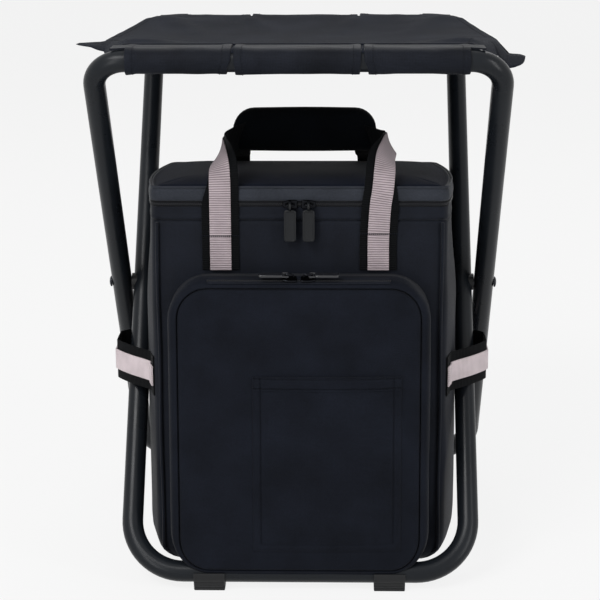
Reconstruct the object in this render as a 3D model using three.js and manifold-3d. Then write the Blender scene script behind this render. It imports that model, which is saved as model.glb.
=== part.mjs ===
// Folding cooler stool: two bent tube loops crossed on two rivets, a cloth seat slung between their top bars,
// and a soft insulated cooler bag carried between the legs. Millimetres, +Z up, the front is -Y.
import * as THREE from 'three';
import { mergeVertices } from 'three/addons/utils/BufferGeometryUtils.js';
import Module from 'manifold-3d';

const manifoldLibrary = await Module();
manifoldLibrary.setup();

// Driving dimensions of the frame
const tubeRadius = 9.5;
const tubeWall = 1.4;
const barDepth = 330;
const barRise = 460;
const innerHalfWidth = 153;
const pivotGap = 2;
const outerTopBend = 28;
const innerTopBend = 28;
const bottomBend = 48;
const fit = 0.3;
const overrun = 5;

// Rivets, spacers and feet
const rivetRadius = 3;
const rivetHeadRadius = 5.2;
const rivetHeadHeight = 2.4;
const rivetInnerHeadHeight = 1.2;
const spacerRadius = 8;
const spacerWing = 4.2;
const footBelow = 6;
const footLength = 28;
const footWall = 2.2;
const footPadHalf = 7;
const footPlace = 81;
const footRibs = 7;
const footGroove = 2.1;
const footGrooveDepth = 1.5;
const footLipTurn = THREE.MathUtils.degToRad(12);

// Seat cloth
const clothThickness = 1.3;
const seatThickness = 2.2;
const sleeveTail = 25;
const sleeveSlot = 7;
const sleeveMouthTurn = THREE.MathUtils.degToRad(43);
const sleeveCentreHalf = 52.5;
const sleeveFrontHalf = 145;
const sleeveRearHalf = 124;
const sleeveRearCorner = 148;
const seatBarHalf = 148;
const seatMidHalf = 182;
const seatSag = 13;
const seatWidthPower = 2.4;
const flapOut = 22;
const flapHalfDepth = 44;
const flapPlace = -24;
const flapDroop = 7;

// Cooler bag
const bagHalfWidth = 139.5;
const bagFront = -120;
const bagRear = 80;
const bagBase = 10;
const bagRim = 342;
const bagCorner = 8;
const bagBulgeShare = 0.065;
const bagRimTilt = 0.06;
const bagBaseEdge = 12;
const insideCornerShare = 0.4;
const bagWall = 8;
const linerWall = 1.2;
const zipTape = 2;
const zipDepth = 4;
const lidThickness = 13;
const lidEdge = 5;
const pipingRadius = 1.5;
const pipingFall = 14;
const pipingTop = bagRim - pipingFall;

// Front pocket and the patch pocket on it
const pocketHalfWidth = 118.5;
const pocketFall = 61;
const pocketTop = bagRim - pocketFall;
const pocketBottom = 18;
const pocketFaceInset = 9.5;
const pocketTopFront = 154;
const pocketBottomFront = 171;
const pocketShoulder = 10;
const pocketCorner = 36;
const pocketWall = 2.4;
const pocketFaceThickness = 3;
const patchHalfWidth = 66;
const patchCentre = 25;
const patchFall = 82;
const patchTop = pocketTop - patchFall;
const patchBottom = 39;
const patchThickness = 1.6;
const patchHem = 12;
const patchCorner = 12;

// Zips
const sliderPlace = 8.2;
const sliderLength = 13;
const sliderWidth = 8;
const sliderNose = 5;
const sliderThickness = 2;
const archWire = 0.8;
const archHalf = 3.6;
const archReach = 4.3;
const bulgeSteps = 6;
const lidRingRadius = 3.2;
const lidPullWidth = 10.6;
const lidPullLength = 28.5;
const lidPullThickness = 3;
const lidPullCorner = 2.4;
const pocketZipHalf = 80;
const pocketZipWidth = 9;
const pocketZipHeight = 1.4;
const pocketZipTurn = THREE.MathUtils.degToRad(40);
const pocketPullLength = 27;
const pocketPullWidth = 7.5;
const pocketPullThickness = 1.8;
const pocketPullSlot = 4;
const pocketPullSlotWidth = 3;
const pocketPullCorner = 2;

// Webbing and the handle
const webbingWidth = 19;
const webbingThickness = 1.4;
const backingWidth = 33;
const backingThickness = 1;
const webbingPlace = 70;
const webbingFrontGap = 4;
const webbingFrontFoot = pocketTop + webbingFrontGap;
const webbingRearFoot = 120;
const riserBend = 14;
const gripHalf = 67;
const gripBottom = 377;
const gripTop = 417;
const gripFront = -32;
const gripRear = -8;
const gripCorner = 18;
const sideStrapHeight = 37;
const sideStrapPlace = 184;
const sideStrapReach = 33;
const sideStrapFront = 96;
const sideStrapFold = 56;
const sideStrapFoldRear = 26;
const sideStrapRear = 2;
const sideStrapTabShare = 0.5;
const sideGreyHeight = 19;

// Back of the bag: a padded panel and two shoulder straps with buckles
const backPanelHalf = 56;
const backPanelBottom = 38;
const backPanelFall = 24;
const backPanelThickness = 4;
const backPanelCorner = 14;
const shoulderPlace = 31;
const shoulderWidth = 42;
const shoulderThickness = 8;
const shoulderTopFall = 30;
const shoulderSewn = 22;
const shoulderHeightShare = 0.512;
const shoulderHeight = shoulderHeightShare * (bagRim - bagBase);
const shoulderBow = 25;
const buckleWidth = 36;
const buckleLength = 20;
const buckleThickness = 5;
const buckleSlotWidth = 26;
const buckleSlotLength = 4;
const adjusterWidth = 25;
const adjusterFoot = 46;
const adjusterSewn = 22;

// What follows from them
const legHalf = Math.hypot(barDepth / 2, barRise / 2);
const legTurn = Math.atan2(barDepth, barRise);
const outerHalfWidth = innerHalfWidth + 2 * tubeRadius + pivotGap;
const bottomBarHeight = tubeRadius + footBelow;
const topBarHeight = bottomBarHeight + barRise;
const pivotHeight = bottomBarHeight + barRise / 2;
const legInside = innerHalfWidth - tubeRadius;
const sleeveRadius = tubeRadius + fit + clothThickness;

const paint = (color, roughness, metalness) => new THREE.MeshStandardMaterial({ color, roughness, metalness });
const tubePaint = paint('#2b2f34', 0.38, 0.35);
const rivetSteel = paint('#8d8f92', 0.35, 0.9);
const blackPlastic = paint('#141416', 0.55, 0);
const seatCloth = paint('#33363d', 0.9, 0);
const bagCloth = paint('#23262d', 0.92, 0);
const lidCloth = paint('#3c4147', 0.9, 0);
const linerFilm = paint('#c9cccd', 0.35, 0.1);
const zipNylon = paint('#17181b', 0.6, 0);
const pullRubber = paint('#1b1c1f', 0.6, 0);
const greyWebbing = paint('#978e93', 0.85, 0);
const blackWebbing = paint('#101114', 0.9, 0);
const gripFoam = paint('#0b0d12', 0.95, 0);

const stool = new THREE.Group();

// Adds one named piece to the stool.
function piece(name, geometry, material) {
  const mesh = new THREE.Mesh(geometry, material);
  mesh.name = name;
  stool.add(mesh);
  return mesh;
}

// Closed geometry into a solid: only the positions stay, and shared corners are merged.
function solid(geometry) {
  const bare = geometry.clone();
  bare.deleteAttribute('normal');
  bare.deleteAttribute('uv');
  const merged = mergeVertices(bare);
  return new manifoldLibrary.Manifold(new manifoldLibrary.Mesh({
    numProp: 3,
    vertProperties: new Float32Array(merged.attributes.position.array),
    triVerts: new Uint32Array(merged.index.array),
  }));
}

// Solid back into a geometry that a mesh can hold.
function surface(body) {
  const mesh = body.getMesh();
  const geometry = new THREE.BufferGeometry();
  geometry.setAttribute('position', new THREE.BufferAttribute(new Float32Array(mesh.vertProperties), 3));
  geometry.setIndex(new THREE.BufferAttribute(new Uint32Array(mesh.triVerts), 1));
  geometry.computeVertexNormals();
  return geometry;
}

// Extrudes an outline drawn in (y, z) along X, from one x to another.
function alongX(outline, fromX, toX, curveSegments = 12) {
  const depth = toX - fromX;
  const geometry = new THREE.ExtrudeGeometry(outline, { depth, bevelEnabled: false, curveSegments });
  const basis = new THREE.Matrix4().makeBasis(
    new THREE.Vector3(0, 1, 0), new THREE.Vector3(0, 0, 1), new THREE.Vector3(1, 0, 0));
  geometry.applyMatrix4(basis);
  geometry.translate(fromX, 0, 0);
  return geometry;
}

// Extrudes an outline drawn in (x, z) forwards, from one y to a smaller one.
function alongY(outline, fromY, toY, curveSegments = 12) {
  const depth = fromY - toY;
  const geometry = new THREE.ExtrudeGeometry(outline, { depth, bevelEnabled: false, curveSegments });
  const basis = new THREE.Matrix4().makeBasis(
    new THREE.Vector3(1, 0, 0), new THREE.Vector3(0, 0, 1), new THREE.Vector3(0, -1, 0));
  geometry.applyMatrix4(basis);
  geometry.translate(0, fromY, 0);
  return geometry;
}

// Revolves a profile of (radius, x) pairs about the X axis.
function aboutX(profile, segments = 18) {
  const points = profile.map(([radius, along]) => new THREE.Vector2(radius, along));
  const geometry = new THREE.LatheGeometry(points, segments);
  geometry.rotateZ(-Math.PI / 2);
  return geometry;
}

// Rectangle outline with round corners, given by its edges.
function roundedOutline(low, high, bottom, top, radius, shape = new THREE.Shape()) {
  shape.moveTo(high, bottom + radius);
  shape.lineTo(high, top - radius);
  shape.absarc(high - radius, top - radius, radius, 0, Math.PI / 2, false);
  shape.absarc(low + radius, top - radius, radius, Math.PI / 2, Math.PI, false);
  shape.absarc(low + radius, bottom + radius, radius, Math.PI, 1.5 * Math.PI, false);
  shape.absarc(high - radius, bottom + radius, radius, 1.5 * Math.PI, 2 * Math.PI, false);
  return shape;
}

// Points of a rectangle with round corners, centred on zero, the same count for every size.
function ringPoints(halfAcross, halfUp, radius, steps) {
  const points = [];
  for (let corner = 0; corner < 4; corner += 1) {
    const acrossSign = corner === 0 || corner === 3 ? 1 : -1;
    const upSign = corner < 2 ? 1 : -1;
    for (let step = 0; step <= steps; step += 1) {
      const turn = (corner + step / steps) * Math.PI / 2;
      points.push([
        acrossSign * (halfAcross - radius) + radius * Math.cos(turn),
        upSign * (halfUp - radius) + radius * Math.sin(turn),
      ]);
    }
  }
  return points;
}

// Skins a stack of rings of equal point count and caps both ends, or joins the last ring to the first.
function skin(rings, closedLoop = false) {
  const count = rings[0].length;
  const positions = rings.flat().flatMap((point) => [point.x, point.y, point.z]);
  const index = [];
  const spans = closedLoop ? rings.length : rings.length - 1;
  for (let row = 0; row < spans; row += 1) {
    const here = row * count;
    const next = ((row + 1) % rings.length) * count;
    for (let column = 0; column < count; column += 1) {
      const right = (column + 1) % count;
      index.push(here + column, here + right, next + right, here + column, next + right, next + column);
    }
  }
  if (!closedLoop) {
    const last = (rings.length - 1) * count;
    const caps = [[0, rings[0], 1], [last, rings[rings.length - 1], -1]];
    for (const [start, ring, side] of caps) {
      const centre = ring.reduce((sum, point) => sum.add(point), new THREE.Vector3()).divideScalar(count);
      const middle = positions.length / 3;
      positions.push(centre.x, centre.y, centre.z);
      for (let column = 0; column < count; column += 1) {
        const right = (column + 1) % count;
        const pair = side > 0 ? [start + right, start + column] : [start + column, start + right];
        index.push(middle, ...pair);
      }
    }
  }
  const geometry = new THREE.BufferGeometry();
  geometry.setAttribute('position', new THREE.Float32BufferAttribute(positions, 3));
  geometry.setIndex(signedVolume(positions, index) > 0 ? index : index.toReversed());
  geometry.computeVertexNormals();
  return geometry;
}

// Sum of the tetrahedra from the origin to each face: its sign tells which way the faces point.
function signedVolume(positions, index) {
  const corner = (at) => new THREE.Vector3(positions[3 * at], positions[3 * at + 1], positions[3 * at + 2]);
  let sum = 0;
  for (let face = 0; face < index.length; face += 3) {
    sum += corner(index[face]).dot(corner(index[face + 1]).cross(corner(index[face + 2])));
  }
  return sum;
}

// Closed loop of round tube in its own plane, upright: half width across X, half height along Z.
function tubeLoop(halfWidth, halfHeight, topBend, lowBend, radius, sides) {
  const bendSteps = 6;
  const rings = [];
  for (let corner = 0; corner < 4; corner += 1) {
    const acrossSign = corner === 0 || corner === 3 ? 1 : -1;
    const upSign = corner < 2 ? 1 : -1;
    const bend = corner < 2 ? topBend : lowBend;
    for (let step = 0; step <= bendSteps; step += 1) {
      const turn = (corner + step / bendSteps) * Math.PI / 2;
      const outward = new THREE.Vector3(Math.cos(turn), 0, Math.sin(turn));
      const centre = new THREE.Vector3(acrossSign * (halfWidth - bend), 0, upSign * (halfHeight - bend));
      centre.addScaledVector(outward, bend);
      rings.push(Array.from({ length: sides }, (unused, side) => {
        const around = 2 * Math.PI * (side + 0.5) / sides;
        const point = centre.clone().addScaledVector(outward, radius * Math.cos(around));
        point.y += radius * Math.sin(around);
        return point;
      }));
    }
  }
  return skin(rings, true);
}

// Leans a piece of either loop, drawn upright about the pivot, to its open position.
function lean(geometry, turn) {
  geometry.rotateX(turn);
  geometry.translate(0, 0, pivotHeight);
  return geometry;
}

// Frame loop: hollow tube with a rivet hole through each leg.
function frameLoop(name, halfWidth, topBend, turn) {
  const outside = solid(tubeLoop(halfWidth, legHalf, topBend, bottomBend, tubeRadius, 16));
  const inside = solid(tubeLoop(halfWidth, legHalf, topBend, bottomBend, tubeRadius - tubeWall, 10));
  const reach = halfWidth + tubeRadius + overrun;
  const bore = rivetRadius + fit;
  const drill = solid(aboutX([[0, -reach], [bore, -reach], [bore, reach], [0, reach]], 12));
  piece(name, lean(surface(outside.subtract(inside).subtract(drill)), turn), tubePaint);
}

// The same loop grown by the running fit, which cuts the cloth sleeves and the pocket that lie on it.
function clearLoop(halfWidth, topBend, turn) {
  const geometry = tubeLoop(halfWidth, legHalf, topBend, bottomBend, tubeRadius + fit, 16);
  return solid(lean(geometry, turn));
}

// Rivet: domed head outside the wide loop, flat head inside the narrow one.
function rivet(name, side) {
  const innerFace = legInside - fit;
  const outerFace = outerHalfWidth + tubeRadius + fit;
  const profile = [
    [0, innerFace - rivetInnerHeadHeight],
    [rivetHeadRadius, innerFace - rivetInnerHeadHeight],
    [rivetHeadRadius, innerFace],
    [rivetRadius, innerFace],
    [rivetRadius, outerFace],
    [rivetHeadRadius, outerFace],
  ];
  const domeSteps = 3;
  for (let step = 1; step <= domeSteps; step += 1) {
    const turn = (step / domeSteps) * Math.PI / 2;
    profile.push([rivetHeadRadius * Math.cos(turn), outerFace + rivetHeadHeight * Math.sin(turn)]);
  }
  profile[profile.length - 1][0] = 0;
  const mesh = piece(name, aboutX(profile), rivetSteel);
  mesh.rotation.z = side > 0 ? 0 : Math.PI;
  mesh.position.z = pivotHeight;
}

// Spacer: a washer between the legs, hollowed to sit on the narrow loop's leg, flat towards the wide one.
function spacer(name, side) {
  const seat = innerHalfWidth + tubeRadius;
  const bore = rivetRadius + fit;
  const washer = solid(aboutX([
    [bore, seat - spacerWing], [spacerRadius, seat - spacerWing],
    [spacerRadius, seat + pivotGap - fit], [bore, seat + pivotGap - fit], [bore, seat - spacerWing],
  ]));
  const legCutter = new THREE.CylinderGeometry(tubeRadius + fit, tubeRadius + fit, barRise, 40);
  legCutter.rotateX(Math.PI / 2);
  legCutter.rotateX(-side * legTurn);
  legCutter.translate(innerHalfWidth, 0, 0);
  const mesh = piece(name, surface(washer.subtract(solid(legCutter))), blackPlastic);
  mesh.rotation.z = side > 0 ? 0 : Math.PI;
  mesh.position.z = pivotHeight;
}

// Foot: a clip that snaps over a bottom bar from below, with a ribbed pad that stands on the ground.
function foot(name, x, y) {
  const inner = tubeRadius + fit;
  const outer = inner + footWall;
  const padTurn = Math.asin((footPadHalf + footWall) / outer);
  const outline = new THREE.Shape();
  outline.absarc(0, 0, outer, footLipTurn, padTurn - Math.PI / 2, true);
  outline.lineTo(footPadHalf, -bottomBarHeight);
  outline.lineTo(-footPadHalf, -bottomBarHeight);
  outline.absarc(0, 0, outer, -Math.PI / 2 - padTurn, -Math.PI - footLipTurn, true);
  outline.absarc(0, 0, inner, -Math.PI - footLipTurn, footLipTurn, false);
  let clip = solid(alongX(outline, -footLength / 2, footLength / 2, 8));
  const pitch = (footLength + footGroove) / footRibs;
  for (let rib = 1; rib < footRibs; rib += 1) {
    const groove = new THREE.BoxGeometry(footGroove, 2 * (footPadHalf + overrun), 2 * footGrooveDepth);
    groove.translate(rib * pitch - (footLength + footGroove) / 2, 0, -bottomBarHeight);
    clip = clip.subtract(solid(groove));
  }
  const mesh = piece(name, surface(clip), blackPlastic);
  mesh.position.set(x, y, bottomBarHeight);
}

// Height of the seat cloth's underside: it hangs between the sleeves in a shallow curve.
function seatHeight(y) {
  const half = barDepth / 2 - sleeveTail - fit;
  const share = Math.min(Math.abs(y) / half, 1);
  return topBarHeight + tubeRadius + fit - seatSag * (1 - share * share);
}

// Half width of the seat cloth: narrow at the bars, wide between them.
function seatHalfWidth(y) {
  const share = Math.min(Math.abs(y) / (barDepth / 2), 1);
  return seatBarHalf + (seatMidHalf - seatBarHalf) * (1 - share ** seatWidthPower);
}

// Seat panel: a grid of columns stretched to the outline, with a small round flap at each side.
function seatPanel() {
  const rows = 24;
  const columns = 12;
  const half = barDepth / 2 - sleeveTail - fit;
  const rings = [];
  for (let row = 0; row <= rows; row += 1) {
    const y = -half + (2 * half * row) / rows;
    const width = seatHalfWidth(y);
    const flapShare = Math.sqrt(Math.max(0, 1 - ((y - flapPlace) / flapHalfDepth) ** 2));
    const full = width + flapOut * flapShare;
    const point = (column, thickness) => {
      const x = full * (2 * column / columns - 1);
      const past = Math.max(0, Math.abs(x) - width) / flapOut;
      return new THREE.Vector3(x, y, seatHeight(y) - flapDroop * past * past + thickness);
    };
    const ring = [];
    for (let column = 0; column <= columns; column += 1) ring.push(point(column, 0));
    for (let column = columns; column >= 0; column -= 1) ring.push(point(column, seatThickness));
    rings.push(ring);
  }
  return fillEnds(rings, columns);
}

// Skins rings that are two rows of points back to back, with ladder faces across both end rows.
function fillEnds(rings, columns) {
  const count = rings[0].length;
  const positions = rings.flat().flatMap((point) => [point.x, point.y, point.z]);
  const index = [];
  for (let row = 0; row < rings.length - 1; row += 1) {
    for (let column = 0; column < count; column += 1) {
      const right = (column + 1) % count;
      const here = row * count;
      const next = here + count;
      index.push(here + column, here + right, next + right, here + column, next + right, next + column);
    }
  }
  for (let column = 0; column < columns; column += 1) {
    const far = count - 1 - column;
    index.push(column, far - 1, column + 1, column, far, far - 1);
    const last = (rings.length - 1) * count;
    index.push(last + column, last + column + 1, last + far - 1, last + column, last + far - 1, last + far);
  }
  const geometry = new THREE.BufferGeometry();
  geometry.setAttribute('position', new THREE.Float32BufferAttribute(positions, 3));
  geometry.setIndex(signedVolume(positions, index) > 0 ? index : index.toReversed());
  geometry.computeVertexNormals();
  return geometry;
}

// Side view of a sleeve: cloth round the bar and a tail of it towards the seat. `into` is +1 at the front bar.
function sleeveOutline(into) {
  const barY = -into * barDepth / 2;
  const tail = barY + into * sleeveTail;
  const under = topBarHeight + tubeRadius + fit;
  const outline = new THREE.Shape();
  const crown = Math.PI / 2;
  const wrap = 2 * Math.PI - sleeveMouthTurn - Math.asin(clothThickness / sleeveRadius);
  outline.absarc(barY, topBarHeight, sleeveRadius, crown, crown + into * wrap, into < 0);
  outline.lineTo(barY + into * (sleeveRadius + clothThickness), under);
  outline.lineTo(tail, under);
  outline.lineTo(tail, under + seatThickness);
  outline.lineTo(barY + into * sleeveRadius / 2, under + seatThickness);
  return outline;
}

// Side view of the flat cloth that runs on past a sleeve's end, over the bend of the tube.
function cornerOutline(into) {
  const barY = -into * barDepth / 2;
  const under = topBarHeight + tubeRadius + fit;
  const outline = new THREE.Shape();
  outline.moveTo(barY, under);
  outline.lineTo(barY + into * sleeveTail, under);
  outline.lineTo(barY + into * sleeveTail, under + seatThickness);
  outline.lineTo(barY, under + seatThickness);
  return outline;
}

// Sleeves: three round each top bar, with bare tube showing in the slots between them.
function sleeves(where, into, endHalf, cornerHalf, bore) {
  const sideStart = sleeveCentreHalf + sleeveSlot;
  const spans = [['left', -endHalf, -sideStart], ['centre', -sleeveCentreHalf, sleeveCentreHalf],
    ['right', sideStart, endHalf]];
  for (const [place, fromX, toX] of spans) {
    let body = solid(alongX(sleeveOutline(into), fromX, toX, 20)).subtract(bore);
    if (place !== 'centre' && cornerHalf > endHalf) {
      const side = place === 'left' ? -1 : 1;
      const edges = [side * (endHalf - overrun), side * cornerHalf].sort((low, high) => low - high);
      body = body.add(solid(alongX(cornerOutline(into), edges[0], edges[1])));
    }
    piece(`seat_sleeve_${where}_${place}`, surface(body), seatCloth);
  }
}

// Width of the bag at one depth as a share of its widest: the sides bulge out between the corners.
function bagShare(y) {
  const away = (y - (bagFront + bagRear) / 2) / ((bagRear - bagFront) / 2);
  return 1 - bagBulgeShare * away * away;
}

// One ring of the bag, drawn in from the outer wall, with its sides bulged. It falls to the rear by its tilt.
function bagRing(inset, height, tilt = 0) {
  const middle = (bagFront + bagRear) / 2;
  const halfWidth = bagHalfWidth - inset;
  const halfDepth = (bagRear - bagFront) / 2 - inset;
  const corner = Math.max(bagCorner - inset, bagCorner * insideCornerShare);
  const points = [];
  for (const point of ringPoints(halfWidth, halfDepth, corner, 4)) {
    const before = points[points.length - 1];
    if (before && before[0] * point[0] > 0 && Math.abs(before[1] - point[1]) > halfDepth) {
      for (let step = 1; step < bulgeSteps; step += 1) {
        points.push([point[0], before[1] + (point[1] - before[1]) * step / bulgeSteps]);
      }
    }
    points.push(point);
  }
  const [first, last] = [points[0], points[points.length - 1]];
  for (let step = 1; step < bulgeSteps; step += 1) {
    points.push([first[0], last[1] + (first[1] - last[1]) * step / bulgeSteps]);
  }
  return points.map(([x, up]) => {
    const y = up + middle;
    return new THREE.Vector3(x * bagShare(y), y, height - tilt * (y - bagFront));
  });
}

// Tub with a rolled bottom edge: rings climb a quarter round, then rise straight to the rim.
function tub(inset, base, rim, edge) {
  const steps = 4;
  const rings = [];
  for (let step = 0; step <= steps; step += 1) {
    const turn = (step / steps) * Math.PI / 2;
    rings.push(bagRing(inset + edge * (1 - Math.sin(turn)), base + edge * (1 - Math.cos(turn))));
  }
  rings.push(bagRing(inset, rim, bagRimTilt));
  return solid(skin(rings));
}

// Bag body: padded walls round an open top, and the thin liner tub inside it.
function bagBody() {
  const wallEdge = bagBaseEdge - bagWall / 2;
  const hollow = tub(bagWall, bagBase + bagWall, bagRim + overrun, wallEdge);
  piece('cooler_body', surface(tub(0, bagBase, bagRim, bagBaseEdge).subtract(hollow)), bagCloth);
  const linerInset = bagWall + fit;
  const outside = tub(linerInset, bagBase + bagWall + fit, bagRim, wallEdge);
  const inside = tub(linerInset + linerWall, bagBase + bagWall + fit + linerWall, bagRim + overrun, wallEdge);
  piece('cooler_liner', surface(outside.subtract(inside)), linerFilm);
}

// Zip tapes: one on the body's rim and one under the lid, each a level band that leaves the rear edge free.
function zipTapes() {
  const names = [['lid_zip_lower_tape', bagRim + fit], ['lid_zip_upper_tape', bagRim + 2 * fit + zipTape]];
  for (const [name, height] of names) {
    const band = (inset, low, high) => solid(skin([
      bagRing(inset, low, bagRimTilt), bagRing(inset, high, bagRimTilt)]));
    const outer = band(0, height, height + zipTape);
    const inner = band(zipDepth, height - overrun, height + zipTape + overrun);
    const rearCut = new THREE.BoxGeometry(2 * (bagHalfWidth + overrun), 2 * bagCorner, bagRim);
    rearCut.translate(0, bagRear, bagRim);
    piece(name, surface(outer.subtract(inner).subtract(solid(rearCut))), zipNylon);
  }
}

// Lid: a padded slab with a rolled upper edge and a slightly crowned top.
function lid() {
  const base = bagRim + 3 * fit + 2 * zipTape;
  const steps = 4;
  const rings = [bagRing(0, base, bagRimTilt)];
  for (let step = 0; step <= steps; step += 1) {
    const turn = (step / steps) * Math.PI / 2;
    const height = base + lidThickness - lidEdge * (1 - Math.sin(turn));
    rings.push(bagRing(lidEdge * (1 - Math.cos(turn)), height, bagRimTilt));
  }
  piece('cooler_lid', skin(rings), lidCloth);
}

// Piping: round cord sewn down a front corner, turning under with the bag's rolled bottom edge.
function cornerPiping(name, side) {
  const along = side * (bagHalfWidth - bagCorner) * bagShare(bagFront);
  const centre = new THREE.Vector3(along, bagFront + bagBaseEdge, bagBase + bagBaseEdge);
  const reach = bagBaseEdge + pipingRadius + fit;
  const sides = 8;
  const steps = 6;
  const ring = (turn, rise) => Array.from({ length: sides }, (unused, corner) => {
    const around = 2 * Math.PI * corner / sides;
    const outward = new THREE.Vector3(0, -Math.cos(turn), -Math.sin(turn));
    const point = centre.clone().addScaledVector(outward, reach + pipingRadius * Math.cos(around));
    point.x += pipingRadius * Math.sin(around);
    point.z += rise;
    return point;
  });
  const rings = [ring(0, pipingTop - centre.z)];
  for (let step = 0; step <= steps; step += 1) rings.push(ring((step / steps) * Math.PI / 2, 0));
  piece(name, skin(rings), blackWebbing);
}

// Distance of the pocket's front from the pivot plane: it leans out towards the bottom.
function pocketFront(z) {
  const drop = (pocketTop - z) / (pocketTop - pocketBottom);
  return pocketTopFront + (pocketBottomFront - pocketTopFront) * drop;
}

// Ring of the pocket at one share of its depth: flat sides, then a round shoulder in to the face.
function pocketRing(share, wall, forward = 0) {
  const depth = pocketTopFront + bagFront;
  const roll = Math.max(0, 1 - (1 - share) * depth / pocketShoulder);
  const inset = pocketFaceInset * (1 - Math.sqrt(Math.max(0, 1 - roll * roll))) + wall;
  const low = pocketBottom + inset;
  const high = pocketTop - inset;
  const points = ringPoints(pocketHalfWidth - inset, (high - low) / 2, pocketCorner - inset, 6);
  return points.map(([x, up]) => {
    const z = up + (high + low) / 2;
    const back = bagFront - fit;
    return new THREE.Vector3(x, back - (pocketFront(z) + back) * share - forward, z);
  });
}

// Flat piece on the pocket's face, right of its middle: round-cornered, lying at a distance in front of it.
function facePlate(name, halfAcross, bottom, top, radius, near, thickness, material) {
  const points = ringPoints(halfAcross, (top - bottom) / 2, radius, 5);
  const ring = (forward) => points.map(([x, up]) => {
    const z = up + (top + bottom) / 2;
    return new THREE.Vector3(patchCentre + x, -pocketFront(z) - forward, z);
  });
  piece(name, skin([ring(near), ring(near + thickness)]), material);
}

// Front pocket: gusset band, padded face over it, and a patch pocket with a hemmed mouth on the face.
function frontPocket(barCutter) {
  const shares = [0, 0.7, 0.8, 0.88, 0.95, 0.985, 1];
  const outside = solid(skin(shares.map((share) => pocketRing(share, 0))));
  const hollowShares = [-pocketWall / pocketTopFront, 1];
  const hollow = hollowShares.map((share) => pocketRing(share, pocketWall));
  const last = pocketRing(1, pocketWall, overrun);
  const inside = solid(skin([...hollow, last]));
  piece('pocket_gusset', surface(outside.subtract(inside).subtract(barCutter)), bagCloth);
  const faceRings = [pocketRing(1, 0, fit), pocketRing(1, pocketFaceThickness / 2, fit + pocketFaceThickness)];
  piece('pocket_face', surface(solid(skin(faceRings)).subtract(barCutter)), bagCloth);
  const near = 2 * fit + pocketFaceThickness;
  const hemBase = patchTop - patchHem;
  const patchSeam = hemBase - fit;
  facePlate('patch_pocket', patchHalfWidth, patchBottom, patchSeam, patchCorner, near, patchThickness, bagCloth);
  facePlate('patch_pocket_hem', patchHalfWidth, hemBase, patchTop, fit, near, patchThickness, bagCloth);
}

// Zip slider: a plate that narrows to its nose, with a wire arch on it. Drawn flat, nose towards +X, arch up.
function sliderSolid() {
  const outline = new THREE.Shape();
  outline.moveTo(-sliderLength / 2, -sliderWidth / 2);
  outline.lineTo(0, -sliderWidth / 2);
  outline.lineTo(sliderLength / 2, -sliderNose / 2);
  outline.lineTo(sliderLength / 2, sliderNose / 2);
  outline.lineTo(0, sliderWidth / 2);
  outline.lineTo(-sliderLength / 2, sliderWidth / 2);
  const plate = new THREE.ExtrudeGeometry(outline, { depth: sliderThickness, bevelEnabled: false });
  const arch = new THREE.Shape();
  arch.moveTo(-archHalf - archWire, sliderThickness / 2);
  arch.lineTo(-archHalf - archWire, sliderThickness + archReach + archWire);
  arch.lineTo(archHalf + archWire, sliderThickness + archReach + archWire);
  arch.lineTo(archHalf + archWire, sliderThickness / 2);
  arch.lineTo(archHalf - archWire, sliderThickness / 2);
  arch.lineTo(archHalf - archWire, sliderThickness + archReach - archWire);
  arch.lineTo(archWire - archHalf, sliderThickness + archReach - archWire);
  arch.lineTo(archWire - archHalf, sliderThickness / 2);
  const wire = alongY(arch, archWire, -archWire);
  return solid(plate).add(solid(wire));
}

// Lid zip: two sliders on the front run of the tapes, each with a ring and a rubber pull that hangs from it.
function lidZip(name, side) {
  const tapeFace = bagFront - fit;
  const height = bagRim + fit + zipTape + fit / 2;
  const slider = surface(sliderSolid());
  slider.rotateX(Math.PI / 2);
  slider.rotateY(side > 0 ? 0 : Math.PI);
  const mesh = piece(`lid_slider_${name}`, slider, rivetSteel);
  mesh.position.set(side * sliderPlace, tapeFace, height);
  const archCorner = archWire * Math.SQRT2;
  const ringCentre = lidRingRadius - archWire - archCorner - fit;
  const ring = new THREE.TorusGeometry(lidRingRadius, archWire, 6, 14);
  ring.rotateY(Math.PI / 2);
  const tabTop = -lidRingRadius;
  const outline = roundedOutline(
    -lidPullWidth / 2, lidPullWidth / 2, tabTop - lidPullLength, tabTop, lidPullCorner);
  const tab = alongY(outline, lidPullThickness / 2, -lidPullThickness / 2, 4);
  const pull = piece(`lid_pull_${name}`, surface(solid(ring).add(solid(tab))), pullRubber);
  const archFace = tapeFace - sliderThickness - archReach;
  pull.position.set(side * sliderPlace, archFace, height - ringCentre);
}

// Pocket zip: a strip along the gusset's shoulder, two sliders, and two slotted pulls that lie outwards.
function pocketZip() {
  const shoulder = new THREE.Group();
  const roll = pocketShoulder * Math.sin(pocketZipTurn);
  const fall = pocketFaceInset * (1 - Math.cos(pocketZipTurn));
  shoulder.position.set(0, -(pocketTopFront - pocketShoulder + roll), pocketTop - fall);
  shoulder.rotation.x = pocketZipTurn;
  stool.add(shoulder);
  const strip = new THREE.BoxGeometry(2 * pocketZipHalf, pocketZipWidth, pocketZipHeight);
  strip.translate(0, 0, 2 * fit + pocketZipHeight / 2);
  shoulder.add(piece('pocket_zip', strip, zipNylon));
  for (const [name, side] of [['left', -1], ['right', 1]]) {
    const base = 3 * fit + pocketZipHeight;
    const slider = piece(`pocket_slider_${name}`, surface(sliderSolid()), rivetSteel);
    slider.position.set(side * sliderPlace, 0, base);
    slider.rotation.z = side > 0 ? 0 : Math.PI;
    shoulder.add(slider);
    const pull = piece(`pocket_pull_${name}`, pocketPull(), pullRubber);
    pull.position.set(side * sliderPlace, 0, base + sliderThickness + archReach - 2 * archWire - fit);
    pull.rotation.z = side > 0 ? 0 : Math.PI;
    shoulder.add(pull);
  }
}

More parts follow.
